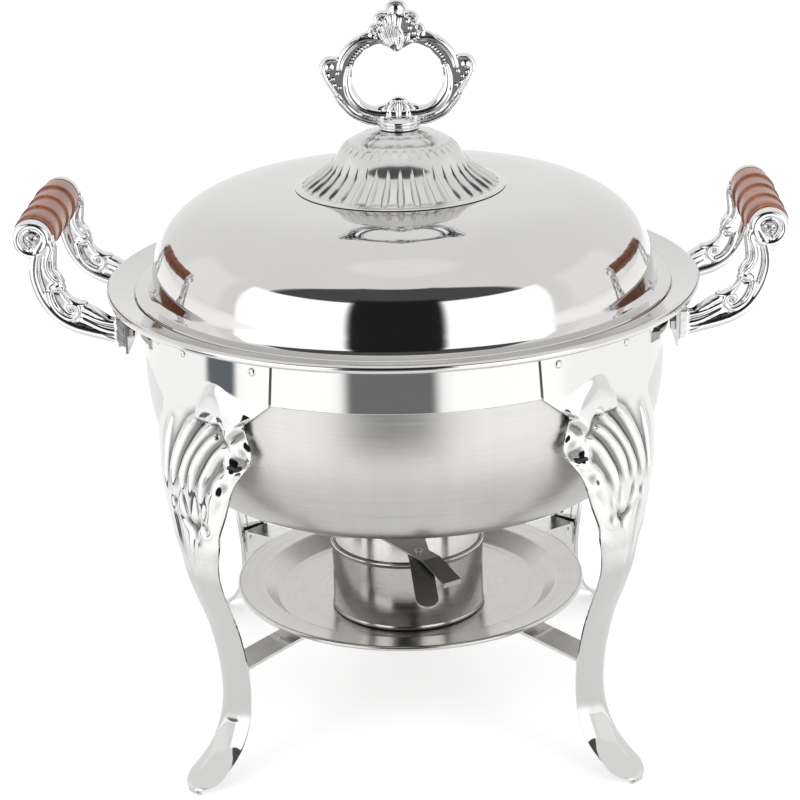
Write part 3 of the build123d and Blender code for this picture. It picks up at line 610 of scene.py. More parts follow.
def fused(name, parts, voxel, iters=3, cuts=None):
    """Fine voxel skin over the overlapping solids, then a light smoothing; returns a mesh in mm."""
    V, F = gather(parts)
    me = bpy.data.meshes.new(name + "_kit")
    me.from_pydata(V, [], F)
    bm = bmesh.new()
    bm.from_mesh(me)
    bmesh.ops.recalc_face_normals(bm, faces=bm.faces)
    bm.to_mesh(me)
    bm.free()
    o = bpy.data.objects.new(name + "_kit", me)
    SC.collection.objects.link(o)
    r = o.modifiers.new("skin", "REMESH")
    r.mode = "VOXEL"
    r.voxel_size = voxel
    r.adaptivity = 0.0
    if cuts:
        Vc, Fc = gather(cuts)
        mc = bpy.data.meshes.new(name + "_cut")
        mc.from_pydata(Vc, [], Fc)
        bm = bmesh.new()
        bm.from_mesh(mc)
        bmesh.ops.recalc_face_normals(bm, faces=bm.faces)
        bm.to_mesh(mc)
        bm.free()
        oc = bpy.data.objects.new(name + "_cut", mc)
        SC.collection.objects.link(oc)
        rc = oc.modifiers.new("skin", "REMESH")
        rc.mode = "VOXEL"
        rc.voxel_size = voxel
        b = o.modifiers.new("cut", "BOOLEAN")
        b.operation = "DIFFERENCE"
        b.object = oc
        b.solver = "EXACT"
        r2 = o.modifiers.new("skin2", "REMESH")
        r2.mode = "VOXEL"
        r2.voxel_size = voxel
    s = o.modifiers.new("ease", "SMOOTH")
    s.factor = 0.5
    s.iterations = iters
    dg = bpy.context.evaluated_depsgraph_get()
    out = bpy.data.meshes.new_from_object(o.evaluated_get(dg), depsgraph=dg)
    bpy.data.objects.remove(o)
    if cuts:
        bpy.data.objects.remove(oc)
    n = len(out.vertices)
    co = np.empty(n * 3)
    out.vertices.foreach_get("co", co)
    faces = [tuple(p.vertices) for p in out.polygons]
    co = co.reshape(-1, 3)
    bpy.data.meshes.remove(out)
    return co, faces


def placed(name, co, faces, matrix, flip=False):
    m = np.array(matrix)
    c = co @ m[:3, :3].T + m[:3, 3]
    if flip:
        faces = [tuple(reversed(f)) for f in faces]
    return mesh_from(name, c, faces)


def smooth_only(me):
    for p in me.polygons:
        p.use_smooth = True
    return me


# --------------------------------------------------------------------------
# scroll brackets
# --------------------------------------------------------------------------
def spiral(cx, cz, r0, r1, a0, turns, n=22):
    return [(cx + (r0 + (r1 - r0) * i / n) * math.cos(math.radians(a0 + 360 * turns * i / n)),
             cz + (r0 + (r1 - r0) * i / n) * math.sin(math.radians(a0 + 360 * turns * i / n))) for i in range(n + 1)]


# worked in the X-Z plane round y = 0, thickness 8.9, for the right-hand front bracket
bk = []
B = (227.0, 0, 40.0)
bk.append(torus_y(B, 9.4, 3.2, 4.4))
bk.append(disc_y(B, 9.6, -1.9, 4.4))
bk.append(([(x, y, z) for x, y, z in sweep(spiral(227.0, 40.0, 7.2, 4.6, 215, -0.86), [1.0, 0.8, 0.5], 1.5, 2, 12)[0]],
           sweep(spiral(227.0, 40.0, 7.2, 4.6, 215, -0.86), [1.0, 0.8, 0.5], 1.5, 2, 12)[1]))
bk[-1] = ([(x, y - 1.9, z) for x, y, z in bk[-1][0]], bk[-1][1])
# broad smooth outer band
bk.append(sweep([(219.7, 45), (220.4, 39.1), (223.9, 33), (226.2, 27), (227.2, 19.5), (226.3, 12), (223.6, 3.6), (219.0, -4.6), (212.6, -11.4),
                 (204.0, -16.4), (193.9, -19.6), (183.8, -21.8), (176.4, -22.4)],
                [2.4, 2.8, 3.4, 3.9, 4.0, 4.0, 4.0, 4.0, 4.1, 4.2, 4.4, 4.8, 4.8], [3.4, 3.8, 4.2, 4.4, 4.4, 4.4, 4.4, 4.4, 4.4, 4.4, 4.4, 4.4, 4.4], 6, 20))
bk.append(sweep([(217.4, 41.5), (215.6, 34.6), (218.2, 27), (218.4, 21), (215.8, 15.7), (212.0, 12.2)], [2.0, 2.3, 2.5, 2.4, 2.2, 1.8], 4.0, 6))
bk.append(sweep([(214.0, 38.0), (213.2, 34.6), (214.2, 27), (214.4, 21), (211.6, 16.5), (209.6, 12.6)], [1.3, 1.6, 1.8, 1.8, 1.8, 1.5], 3.5, 6))
bk.append(slab([(213.6, 42.0), (213.4, 36.0), (213.6, 24.0), (210.6, 16.0), (210.6, 11.0), (214.6, 3.6), (222.0, 4.0), (225.0, 12.0), (226.0, 22.0),
                (222.0, 33.0), (219.0, 42.0)], -1.8, 2.4))
bk.append(blob((213.8, 0, 9.7), (5.8, 4.2, 3.2), 16, -20))
bk.append(blob((209.8, 0, 8.4), (2.2, 3.6, 2.6), 14, 20))
# volute
bk.append(sweep([(218.4, 5.4), (216.8, -1.0), (212.6, -7.4), (205.4, -10.9), (200.6, -6.4), (202.8, -2.0), (207.0, -2.9), (206.6, -5.6)],
                [2.6, 2.6, 2.5, 2.3, 2.2, 1.9, 1.6, 1.3], [3.9, 4.1, 4.3, 4.4, 4.4, 4.4, 4.3, 4.2], 6))
bk.append(blob((205.4, 0, -5.6), (2.1, 4.3, 2.1)))
bk.append(sweep([(209.8, 6.8), (206.0, 1.4), (201.0, -1.6), (196.5, -1.6)], [1.6, 2.1, 2.1, 1.6], 3.8, 6))
bk.append(slab([(197.0, -1.0), (203.0, 1.6), (209.0, 6.0), (218.0, 5.0), (219.0, -3.0), (212.0, -11.0), (203.0, -15.0), (192.0, -18.0), (183.0, -21.0),
                (174.4, -21.0), (174.4, -12.8), (182.0, -12.4), (187.0, -8.4)], -2.2, 2.6))
# leaf running out to the flange, with two long slits
bk.append(sweep([(201.6, -4.4), (196.0, -4.6), (189.6, -8.4), (183.0, -12.2)], [1.8, 3.0, 3.0, 2.2], [3.4, 4.4, 4.4, 4.2], 6))
bk.append(slab([(199.0, -6.0), (192.0, -7.4), (186.0, -11.2), (181.0, -12.8), (174.4, -12.6), (174.4, -27.6), (184.0, -26.2), (196.0, -20.6), (203.0, -14.0)], -2.9, 3.4))
for a, b_, c in (((198.4, -7.6), (187.0, -12.6), (174.8, -14.8)), ((198.6, -11.4), (186.5, -17.6), (174.8, -20.4)), ((198.6, -15.4), (186.0, -22.4), (174.8, -26.0))):
    bk.append(sweep([a, b_, c], [1.4, 2.7, 3.1], [3.6, 4.4, 4.4], 6))
bk.append(sweep([(228.8, 33.6), (231.6, 33.4), (234.4, 35.6)], [2.6, 1.9, 1.2], [4.1, 3.4, 2.4], 5))
foot = [(172.4, -30.3), (178.0, -30.3), (178.4, -29.8), (178.4, -11.4), (178.0, -10.9), (172.4, -10.9)]
bk.append(slab(foot, -4.4, 4.4))
bk_co, bk_f = fused("bracket", bk, 0.40, 13)
# keep the seat flat and clear of the plate
bk_co[:, 0] = np.maximum(bk_co[:, 0], 172.25)
bk_co[:, 1] = np.clip(bk_co[:, 1], -7.5, 7.5)
bm_y = np.where(bk_co[:, 0] > 180.0, np.clip(bk_co[:, 1], -4.45, 4.45), bk_co[:, 1])
bk_co[:, 1] = bm_y

# worked with its face on -Y; the rear brackets and the left pair are mirror copies
for side, sx in (("right", 1), ("left", -1)):
    for wh, sy in (("front", 1), ("rear", -1)):
        # front bracket: y = -54.55 centre
        m = yaw_matrix() @ Matrix.Translation((0, -54.55 * sy, ZR + HANDLE_UP)) @ Matrix.Diagonal((sx, sy, 1, 1))
        me = placed(f"bracket_{side}_{wh}", bk_co, bk_f, m, flip=(sx * sy < 0))
        smooth_only(me)
        finish_piece(f"scroll_bracket_{side}_{wh}", me, M_CHROME, "stand", [f"bracket_{side}_{wh}"], sharp=False)

# cross-head screws in the bosses
sc_parts = []
for side, sx in (("right", 1), ("left", -1)):
    for sy in (-1, 1):
        prof = joined([(0, 3.0), (1.6, 2.92), (3.0, 2.55), (4.0, 1.8), (4.45, 0.9), (4.45, 0.0), (2.0, 0.0), (2.0, -25.0), (0, -25.0)])
        v, f = lathe_data(prof, 36, True, 0.0)
        m = yaw_matrix() @ Matrix.Translation((sx * 227.0, sy * 56.3, ZR + 40.0 + HANDLE_UP)) @ Matrix.Rotation(math.radians(-90 * sy), 4, "X")
        # press the cross into the head
        vv = []
        for x, y, z in v:
            d = min(abs(x), abs(y))
            if z > 1.0 and max(abs(x), abs(y)) < 2.9:
                z -= 1.5 * max(0.0, 1.0 - (d / 0.75) ** 4) if d < 0.75 else 0.0
            vv.append(tuple(m @ Vector((x, y, z))))
        sc_parts.append((vv, f))
v, f = gather(sc_parts)
finish_piece("grip_screw_heads", mesh_from("grip_screws", v, f), M_RIM, "stand", ["grip_screws"], 30.0)

# --------------------------------------------------------------------------
# loop handle with its shell crest
# --------------------------------------------------------------------------
def both(part):
    return [part, mirror_x(part)]


lp = []
# slim smooth inner loop and the fuller outer loop
lp += both(sweep([(0, 152.4), (8, 151.9), (14, 152.0), (20, 152.0), (26, 149.6), (31, 145.2), (34.8, 139.5), (36.3, 134)],
                 [2.6, 2.8, 3.0, 3.1, 3.1, 3.0, 2.6, 2.2], 4.2, 6))
lp += both(sweep([(30.0, 134.0), (31.2, 128), (31.0, 122), (29.4, 116.6), (25.4, 110.8), (20, 106.8), (13.5, 105.0), (7, 104.6), (0, 104.6)],
                 [2.4, 3.2, 3.7, 4.0, 4.1, 4.1, 4.1, 3.8, 3.6], 4.8, 6))
lp += both(sweep([(39.8, 117.6), (37.4, 113.6), (34.2, 109.8), (29.6, 104.8), (23, 100.9), (17, 99.0), (11.5, 98.6)],
                 [1.5, 1.9, 2.0, 2.0, 2.0, 2.0, 1.8], 3.6, 6))
inner_half = [(0.0, 142.9), (4.0, 144.0), (8.6, 146.4), (13.0, 146.2), (19.0, 143.2), (24.6, 137.4), (27.2, 130.0), (27.0, 123.0), (24.8, 116.2),
              (19.8, 111.4), (13.0, 110.0), (8.0, 111.2), (3.5, 115.0), (0.0, 116.0)]
web = [(28.4, 131.0), (28.6, 123.0), (26.4, 115.6), (21.2, 110.4), (13.4, 107.6), (6.4, 108.4), (0, 108.0), (0, 101.0), (13.0, 101.0), (25.6, 105.6),
       (33.6, 112.6), (38.4, 120.0), (41.6, 125.0), (46.0, 130.0), (47.4, 134.0), (46.4, 137.6), (42.8, 139.4), (38.0, 140.4), (33.6, 145.2), (28.6, 150.6),
       (20.8, 155.0), (17.0, 155.8), (9.0, 157.0), (0, 157.0), (0, 145.4), (4.2, 146.8), (8.8, 149.0), (13.4, 148.6), (20.0, 145.4), (26.0, 138.8)]
lp += both(slab(web, -3.3, 3.3))
# reeded band inside the shoulder
path = resample(catmull([(17.4, 149.0), (21.5, 146.6), (25.4, 143.2), (28.4, 138.8), (29.8, 133.4), (30.0, 128.8)], 8), 0.2)
L = len(path)
for i in range(12):
    j = int((i + 0.5) / 12 * (L - 1))
    p = path[j]
    t = path[min(j + 3, L - 1)] - path[max(j - 3, 0)]
    lp += both(blob((p[0], 0, p[1]), (0.86, 3.9, 2.5), 12, math.degrees(math.atan2(t[1], t[0]))))
# side lugs: rim with leaf relief
lp += both(sweep([(38, 139.6), (43, 139.4), (46.4, 136.5), (46.9, 131.8), (44.6, 126.4), (40.8, 120.6), (38.4, 116.9)], [1.6, 2.2, 2.3, 2.1, 1.9, 1.9, 1.5], 4.3, 6))
lp += both(blob((42.6, 0, 135.2), (3.9, 4.5, 3.7), 20))
for x, z, a, b_ in ((43.6, 130.0, 2.0, 2.8), (40.4, 127.6, 1.7, 1.9), (42.5, 126.9, 1.2, 1.4), (39.4, 123.8, 1.5, 1.7), (37.6, 131.0, 1.6, 2.6), (36.4, 122.0, 1.5, 1.9)):
    lp += both(blob((x, 0, z), (a, 3.9, b_), 14, 25))
# crest: three-lobed rim
lp += both(sweep([(0, 175.0), (3.6, 173.8), (5.9, 170.6), (5.2, 166.6)], [1.3, 1.45, 1.45, 1.2], 3.9, 6))
lp += both(sweep([(5.4, 167.0), (9.2, 167.9), (12.6, 165.6), (13.2, 162.0), (11.2, 159.2)], [1.2, 1.45, 1.5, 1.45, 1.1], 4.0, 6))
lp += both(sweep([(12.8, 160.8), (15.6, 159.6), (17.0, 156.4), (16.2, 153.2)], [1.1, 1.3, 1.4, 1.2], 4.0, 6))
lp += both(sweep([(17.0, 156.0), (21.0, 154.4), (24.6, 151.8)], [1.2, 1.2, 0.8], 3.9, 6))
lp.append(blob((0, 0, 169.9), (5.3, 3.9, 5.3), 24))
lp.append(slab([(-13.5, 152), (-11.5, 159), (-8, 164.5), (-3, 167), (3, 167), (8, 164.5), (12.5, 159), (14, 152), (8.8, 148.4), (4.2, 146.0), (0, 143.6), (-4.2, 146.0),
                (-8.8, 148.4)], -3.9, 3.9))
lp += both(blob((9.6, 0, 162.2), (2.6, 3.1, 2.8), 16))
crest = [(0, 175.0), (4.4, 173.2), (5.9, 169.8), (8.8, 168.0), (12.2, 165.6), (13.0, 161.6), (15.6, 159.6), (17.0, 155.8), (16.4, 150.6), (8.8, 148.4),
         (4.2, 146.0), (0, 143.8)]
lp += both(slab(crest, -2.4, 2.4))
# fluted shell springing from the loop's top, fanned to the left; scroll and berries on the right
tip = (0.0, 142.9)
for x, z in ((-10.4, 155.4), (-9.8, 159.6), (-7.8, 163.4), (-4.8, 166.0), (-1.4, 166.6), (2.2, 164.4)):
    mx, mz = tip[0] + (x - tip[0]) * 0.55 - 0.8, tip[1] + (z - tip[1]) * 0.50
    lp.append(sweep([(tip[0] + (mx - tip[0]) * 0.25, tip[1] + (mz - tip[1]) * 0.25), (mx, mz), (x, z)], [0.55, 1.05, 1.6], [4.5, 4.95, 4.7], 8, 14))
lp.append(sweep([(-2.2, 160.2), (1.4, 158.4), (3.4, 154.6), (3.2, 150.2), (1.4, 145.6)], [0.9, 1.0, 1.0, 1.0, 0.8], 4.95, 6, 12))
lp.append(sweep(spiral(5.0, 152.0, 3.0, 1.0, 150, -1.2), [0.75, 0.7], 4.8, 2, 10))
for x, z, r in ((8.2, 158.6, 1.7), (10.8, 155.2, 1.7), (7.2, 154.8, 1.5), (11.4, 151.8, 1.5), (8.8, 150.4, 1.4), (10.4, 161.4, 1.5), (7.0, 162.6, 1.5),
                (13.6, 156.6, 1.4), (13.0, 152.6, 1.3)):
    lp.append(blob((x, 0, z), (r, 4.9, r), 14))
for x, z, tl in ((-13.2, 153.0, 60), (-13.8, 156.2, 40), (-7.6, 151.2, 70)):
    lp.append(blob((x, 0, z), (1.1, 4.7, 2.5), 12, tl))
# base palmette and collar
for x, rx, rz in ((-6.2, 2.3, 4.6), (0, 2.5, 5.6), (6.2, 2.3, 4.6)):
    lp.append(blob((x, 0, 104.0), (rx, 5.6, rz), 20))
lp.append(slab([(-13, 109.2), (-8, 110.6), (-3.5, 114.2), (0, 115.2), (3.5, 114.2), (8, 110.6), (13, 109.2), (13, 101), (-13, 101)], -3.4, 3.4))
lp.append(blob((0, 0, 108.2), (2.7, 5.6, 6.8), 24))
lp += both(sweep([(2.8, 112.6), (5.6, 108.4), (6.6, 103.0)], [1.2, 1.9, 1.8], 4.8, 6))
lp += both(sweep([(6.6, 110.2), (9.8, 106.6), (10.6, 102.4)], [1.0, 1.8, 1.6], 4.4, 6))
for x in (-10.4, 10.4):
    lp.append(blob((x, 0, 102.2), (2.0, 5.2, 3.6), 16))
cv, cf = lathe_data(joined([(0, 95.25), (12.7, 95.25), (13.0, 95.6), (13.0, 96.3), (12.0, 96.9), (11.8, 97.9), (12.5, 98.5), (13.0, 99.2), (12.9, 100.2),
                            (11.6, 101.6), (9.0, 102.8), (5.0, 103.4), (0, 103.6)]), 72, True, 0.0)
lp.append((cv, cf))
lp_co, lp_f = fused("loop", lp, 0.36, 5)
lp_co[:, 2] = np.clip(lp_co[:, 2], 95.15, 175.95)
lp_me = placed("loop_casting", lp_co, lp_f, Matrix.Translation((0, 0, ZR)))
smooth_only(lp_me)
finish_piece("loop_handle_casting", lp_me, M_CHROME, "lid", ["lid_handle"], sharp=False)

# --------------------------------------------------------------------------
# fluted bell under the loop handle
# --------------------------------------------------------------------------
bell = fair([(62.4, 59.9), (60.4, 60.8), (57.4, 63.2), (53.6, 66.0), (49.2, 68.8), (45.4, 71.8), (42.4, 75.2), (40.0, 78.8), (38.0, 82.2), (35.4, 85.2),
             (32.2, 87.8), (28.4, 89.9), (24.8, 91.5), (22.2, 92.4)], 0.45, 0.9)
flange_run = [(67.0, 58.74), (66.85, 58.98), (66.3, 59.2), (64.6, 59.4), (63.2, 59.6)]
crown = [(21.9, 92.3), (21.4, 92.0), (20.8, 92.2), (20.0, 93.0), (16.0, 94.2), (12.0, 95.0), (3.3, 95.0)]
run = np.array(joined(flange_run, bell, crown))
d = np.r_[0, np.cumsum(np.linalg.norm(np.diff(run, axis=0), axis=1))]
i0 = len(flange_run)
s_start = d[i0] + 2.6
s_end = d[np.argmin(np.abs(run[:, 0] - 32.5))]
NF = 36
SEG = NF * 16
tan = np.gradient(run, axis=0)
tan /= np.linalg.norm(tan, axis=1)[:, None]
nor = np.stack([-tan[:, 1], tan[:, 0]], axis=1)
nor *= np.where(nor[:, 1:2] < 0, -1, 1)
ang = np.arange(SEG) * 2 * math.pi / SEG
ph = (ang * NF / (2 * math.pi)) % 1.0 - 0.5
V, F = [], []
# painted shade mask: flute depth, 0 on the ridges and 1 in the groove bottoms
flute_shade_mask = []
for i, (r, z) in enumerate(run):
    s = d[i]
    g = np.zeros(SEG)
    if s_start - 2.6 < s < s_end + 1.0:
        pitch = 2 * math.pi * r / NF
        t = max(0.0, (s - s_start) / (s_end - s_start))
        wave = (0.5 + 0.5 * np.cos(2 * math.pi * ph)) ** 0.85
        lead = math.sqrt(max(0.0, 1 - (max(0.0, s_start - s) / 2.6) ** 2))
        g = 0.40 * pitch * (1.0 - 0.25 * t) * wave * lead * min(1.0, max(0.0, (s_end + 1.0 - s) / 6.0)) ** 0.7
    flute_shade_mask += list(np.clip(g / (0.36 * 2 * math.pi * r / NF), 0, 1))
    rr = r - nor[i, 0] * g
    zz = z - nor[i, 1] * g
    for k in range(SEG):
        V.append((rr[k] * math.cos(ang[k]), rr[k] * math.sin(ang[k]), zz[k] + ZR))
nrow = len(run)
under = [(3.3, 94.0), (19.6, 92.0), (21.6, 91.0), (25.0, 90.0), (33.4, 86.2), (38.6, 81.6), (41.6, 75.6), (44.2, 71.0), (49.0, 66.6), (56.0, 61.4), (60.6, 59.0), (66.6, 58.7)]
for r, z in under:
    for k in range(SEG):
        V.append((r * math.cos(ang[k]), r * math.sin(ang[k]), z + ZR))
tot = nrow + len(under)
for i in range(tot):
    j = (i + 1) % tot
    for k in range(SEG):
        k2 = (k + 1) % SEG
        F.append((i * SEG + k, i * SEG + k2, j * SEG + k2, j * SEG + k))
bell_me = mesh_from("fluted_bell", V, F)
# the flute depth drives painted shade in the bell's base colour
at_ = bell_me.attributes.new("painted_groove_shade", "FLOAT", "POINT")
at_.data.foreach_set("value", flute_shade_mask + [0.0] * (len(V) - len(flute_shade_mask)))
finish_piece("fluted_bell", bell_me, M_BELL, "lid", ["lid_escutcheon"], 40.0)

# --------------------------------------------------------------------------
# pressed legs: one sheet worked in (across, along) coordinates, and its mirror image
# --------------------------------------------------------------------------
LEG_HALF = [(-9.5, 59, 6.8), (-35.5, 57, 6.8), (-50, 39, 6.8), (-56, 39.5, 6.8), (-63, 43, 7.0), (-70, 45.5, 7.5), (-77, 43, 8.0), (-86, 36.5, 7.6),
            (-93, 33.6, 6.5), (-100, 31.2, 5.5), (-108, 28.4, 4.5), (-115, 25.2, 3.8), (-123, 21.5, 3.0), (-130, 21.3, 2.4), (-137, 18.5, 1.6),
            (-147, 16.2, 1.0), (-165, 15.4, 0.4), (-190, 14.4, 0), (-220, 13.7, 0), (-245, 13.3, 0), (-265, 13.6, 0), (-275, 13.8, 0), (-284, 13.8, 0), (-296, 13.4, 0)]
leg_top = [(172.1, -9.5), (172.1, -30.0), (171.9, -45.0)]
leg_low = fair([(171.6, -57), (173.0, -70), (176.0, -82), (180.0, -93.5), (182.0, -108), (183.0, -120), (183.3, -133.5), (181.8, -152), (178.4, -165), (173.8, -177),
                (167.2, -195), (161.4, -220.5), (159.8, -242), (162.4, -259), (170.2, -273.5), (183.6, -284.0), (195.4, -290.6)], 0.9, 3.0)
leg_tip = catmull([(195.4, -290.6), (197.4, -291.9), (198.5, -293.4), (198.5, -294.9), (197.6, -295.9)], 5)
prof = resample(np.array(joined(leg_top, leg_low, leg_tip)), 0.85)
tp = np.gradient(prof, axis=0)
tp /= np.linalg.norm(tp, axis=1)[:, None]
npf = np.stack([-tp[:, 1], tp[:, 0]], axis=1)          # outward
NV = len(prof)
NU = 105
uu = np.linspace(-1, 1, NU)
uu = np.sign(uu) * (1 - (1 - np.abs(uu)) ** 1.15)
zt = np.array([q[0] for q in LEG_HALF])[::-1]
hh = np.array([q[1] for q in LEG_HALF])[::-1]
cc = np.array([q[2] for q in LEG_HALF])[::-1]
half = np.interp(prof[:, 1], zt, hh)
cen = np.interp(prof[:, 1], zt, cc)
k = np.exp(-0.5 * (np.arange(-9, 10) * 0.85 / 2.6) ** 2)
k /= k.sum()
hs = np.convolve(np.pad(half, 9, mode="edge"), k, "valid")
wgt = np.clip((-prof[:, 1] - 52.0) / 4.0, 0, 1)
half = half * (1 - wgt) + hs * wgt
# spoon toe, rounded in plan
toe = np.clip((prof[:, 0] - 184.5) / 14.6, 0, 1)
half = np.where(prof[:, 1] < -280, np.minimum(half, 13.9 * np.sqrt(np.clip(1 - toe ** 2, 0.05, 1))), half)
S = -cen[:, None] + half[:, None] * uu[None, :]        # across, mm
Zg = np.repeat(prof[:, 1][:, None], NU, 1)
Rg = np.repeat(prof[:, 0][:, None], NU, 1)
U = np.repeat(uu[None, :], NV, 0)
# with the inner edge of the leg towards +across


def seg_dist(P, Q, a, b):
    ax, ay = a
    bx, by = b
    dx, dy = bx - ax, by - ay
    t = np.clip(((P - ax) * dx + (Q - ay) * dy) / (dx * dx + dy * dy), 0, 1)
    return np.hypot(P - ax - t * dx, Q - ay - t * dy), t


def ridge(pts, ws, hs_):
    """Rounded rib (or groove) along a path, half-widths ws and heights hs_ at its points."""
    c = catmull([(p[0], p[1], w, h) for p, w, h in zip(pts, ws, hs_)], 6)
    best = np.zeros_like(S)
    for i in range(len(c) - 1):
        dd, t = seg_dist(S, Zg, c[i][:2], c[i + 1][:2])
        w = c[i][2] * (1 - t) + c[i + 1][2] * t
        h = c[i][3] * (1 - t) + c[i + 1][3] * t
        v = h * (0.5 + 0.5 * np.cos(math.pi * np.clip(dd / np.maximum(w, 0.2), 0, 1))) ** 0.8
        best = np.where(np.abs(v) > np.abs(best), v, best)
    return best


def poly_inside(poly):
    n = len(poly)
    inside = np.zeros(S.shape, bool)
    dist = np.full(S.shape, 1e9)
    for i in range(n):
        a, b = poly[i], poly[(i + 1) % n]
        cond = ((a[1] > Zg) != (b[1] > Zg)) & (S < (b[0] - a[0]) * (Zg - a[1]) / (b[1] - a[1] + 1e-12) + a[0])
        inside ^= cond
        dd, _ = seg_dist(S, Zg, a, b)
        dist = np.minimum(dist, dd)
    return inside, dist


D = np.zeros_like(S)
# general swell of the hand below the plate
sw = np.clip((-Zg - 50) / 26, 0, 1) * np.clip((Zg + 140) / 30, 0, 1)
D += 3.4 * sw * (1 - np.clip(np.abs(U), 0, 1) ** 2.2)
# back of the hand
hand = [tuple(q) for q in catmull([(8, -28.5), (14, -29.0), (22, -33), (31, -38.0), (37, -44.5), (37.5, -51), (31, -54.5), (26.0, -60), (23.6, -64.5), (20.4, -60),
                                   (16, -53.5), (8, -52.5), (0, -54), (-6.5, -51), (-5.5, -44), (-1.5, -37), (3, -31.5), (8, -28.5)], 4)[:-1]]
ins, dd = poly_inside(hand)
rise = np.clip((-28.0 - Zg) * 0.20, 0, 7.0)              # the hand lifts away from the plate as it comes down
hb = np.where(ins, (1.0 + rise) * (1 - np.exp(-dd / 1.7)), 0)
D += hb
fingers = [
    ([(-7, -53), (-15.0, -63), (-20.2, -76), (-22.0, -88), (-21.6, -99)], [4.6, 6.4, 6.2, 5.2, 1.5], [3.6, 4.6, 4.2, 3.2, 0.6]),
    ([(12, -51), (4.4, -57.5), (-3, -66.5), (-9, -78), (-12.2, -90), (-12.2, -104)], [3.8, 5.6, 5.6, 5.0, 4.2, 1.5], [3.0, 3.8, 3.8, 3.6, 2.8, 0.5]),
    ([(11.6, -61.5), (6.4, -67), (0.6, -76), (-3.0, -86), (-4.4, -98)], [3.2, 5.0, 5.0, 4.4, 1.5], [3.0, 4.2, 4.0, 3.2, 0.5]),
    ([(19.0, -66.5), (15.0, -72), (10.6, -81), (7.0, -90), (4.6, -102)], [3.4, 4.9, 4.9, 4.2, 1.5], [3.2, 4.4, 4.2, 3.2, 0.5]),
    ([(-34.4, -60), (-35.8, -70), (-34.4, -82), (-31.0, -94), (-28.0, -104)], [3.0, 4.4, 4.4, 3.8, 1.4], [1.6, 2.6, 2.6, 2.0, 0.4]),
    ([(24.4, -80), (20.0, -88), (15.6, -98), (12.0, -110)], [4.4, 5.6, 5.2, 2.0], [1.4, 2.0, 1.8, 0.4]),
]
FD = np.zeros_like(S)
for pts, ws, hs_ in fingers:
    FD = np.maximum(FD, ridge(pts, ws, hs_))
D += FD
# creases below the fingers
for pts, ws, hs_ in (
        ([(-15.0, -92), (-9.0, -106), (-2.6, -119), (4, -128)], [2.0, 4.2, 4.2, 2.0], [-0.5, -1.5, -1.5, -0.2]),
        ([(3.0, -100), (3.6, -112), (0.0, -124), (-1.0, -140), (-0.5, -156)], [2.2, 4.4, 4.4, 4.0, 2.0], [-0.6, -1.5, -1.5, -1.0, -0.2]),
        ([(12.6, -102), (9.0, -112), (1.0, -119), (-8.0, -116), (-15.0, -112)], [2.0, 3.6, 3.4, 3.2, 2.0], [-0.5, -1.3, -1.3, -1.0, -0.3]),
        ([(-22, -100), (-17, -116), (-12, -132), (-9, -150)], [2.4, 4.2, 4.0, 2.0], [-0.5, -1.3, -1.1, -0.2])):
    D += ridge(pts, ws, hs_)
# ear on the inner edge: raised rim round a hollow
re = np.hypot((S - 31.5) / 1.0, (Zg + 72.5) / 1.05)
D += 2.0 * np.exp(-((re - 9.0) / 3.6) ** 2) - 1.9 * np.exp(-(re / 5.0) ** 2)
D += ridge([(25.0, -66.0), (30.0, -70.0), (35.5, -70.6)], [1.8, 2.8, 1.8], [0.5, 1.3, 0.5])
# dimples
for s0, z0, r0, dp in ((-17.6, -107.0, 3.2, 1.0), (10.0, -118.0, 3.0, 1.1), (21.2, -89.5, 3.8, 1.4)):
    q = np.hypot((S - s0) / r0, (Zg - z0) / (r0 * 1.15))
    D += -dp * np.exp(-1.6 * q ** 2) + 0.5 * np.exp(-((q - 1.5) / 0.5) ** 2)
# narrow strip: crowned, with its edges curled back
st = np.clip((-Zg - 118) / 22, 0, 1)
D += st * (1.5 - 2.6 * np.abs(U) ** 3.0) * np.clip((Zg + 296) / 14, 0.25, 1)
# central soft keel running down from the hand
D += 0.9 * np.exp(-((S + 1.0) / 3.6) ** 2) * np.clip((-Zg - 118) / 14, 0, 1) * np.clip((Zg + 190) / 40, 0, 1)
# the plate's margin stays flat, and so does every edge above the strip
edge = np.clip((1 - np.abs(U)) * half[:, None] / 3.0, 0, 1)
edge = edge * edge * (3 - 2 * edge)
keep = np.clip((-Zg - 118) / 18, 0, 1)
D = D * (edge * (1 - keep) + keep)
# light ease so that ribs meet softly, except at the hand's own outline
def ease(A, n=1):
    for _ in range(n):
        B = A.copy()
        B[1:-1, 1:-1] = (A[1:-1, 1:-1] * 4 + A[:-2, 1:-1] + A[2:, 1:-1] + A[1:-1, :-2] + A[1:-1, 2:]) / 8
        A = B
    return A
D = ease(D, 5)
Bl = ease(D, 60)
# painted shade mask: where the relief sits below its own blurred copy, in the creases round the hand and fingers
crease_shade_mask = np.clip((Bl - D) / 0.85, 0, 1) * np.clip((-Zg - 44) / 10, 0, 1) * np.clip((Zg + 175) / 30, 0, 1)
Rd = Rg + D * npf[:, 0][:, None]
Zd = Zg + D * npf[:, 1][:, None]
Zd = np.maximum(Zd, -296.0)
X = np.sqrt(np.maximum(Rd ** 2 - S ** 2, 1))
P = np.stack([X, S, Zd], axis=2)
gu = np.gradient(P, axis=1)
gv = np.gradient(P, axis=0)
N = np.cross(gu, gv)
N /= np.linalg.norm(N, axis=2)[..., None] + 1e-9
N *= np.where(N[..., 0:1] * npf[:, 0][:, None, None] + N[..., 2:3] * npf[:, 1][:, None, None] < 0, -1, 1)
th = np.where(Zg > -40, 1.5, np.where(Zg > -62, 1.5 + (-40 - Zg) / 22 * 0.6, 2.1))
Bk = P - N * th[..., None]
plate_rows = Zg > -57.5
rb = np.hypot(Bk[..., 0], Bk[..., 1])
fix = plate_rows & (rb < 170.6)
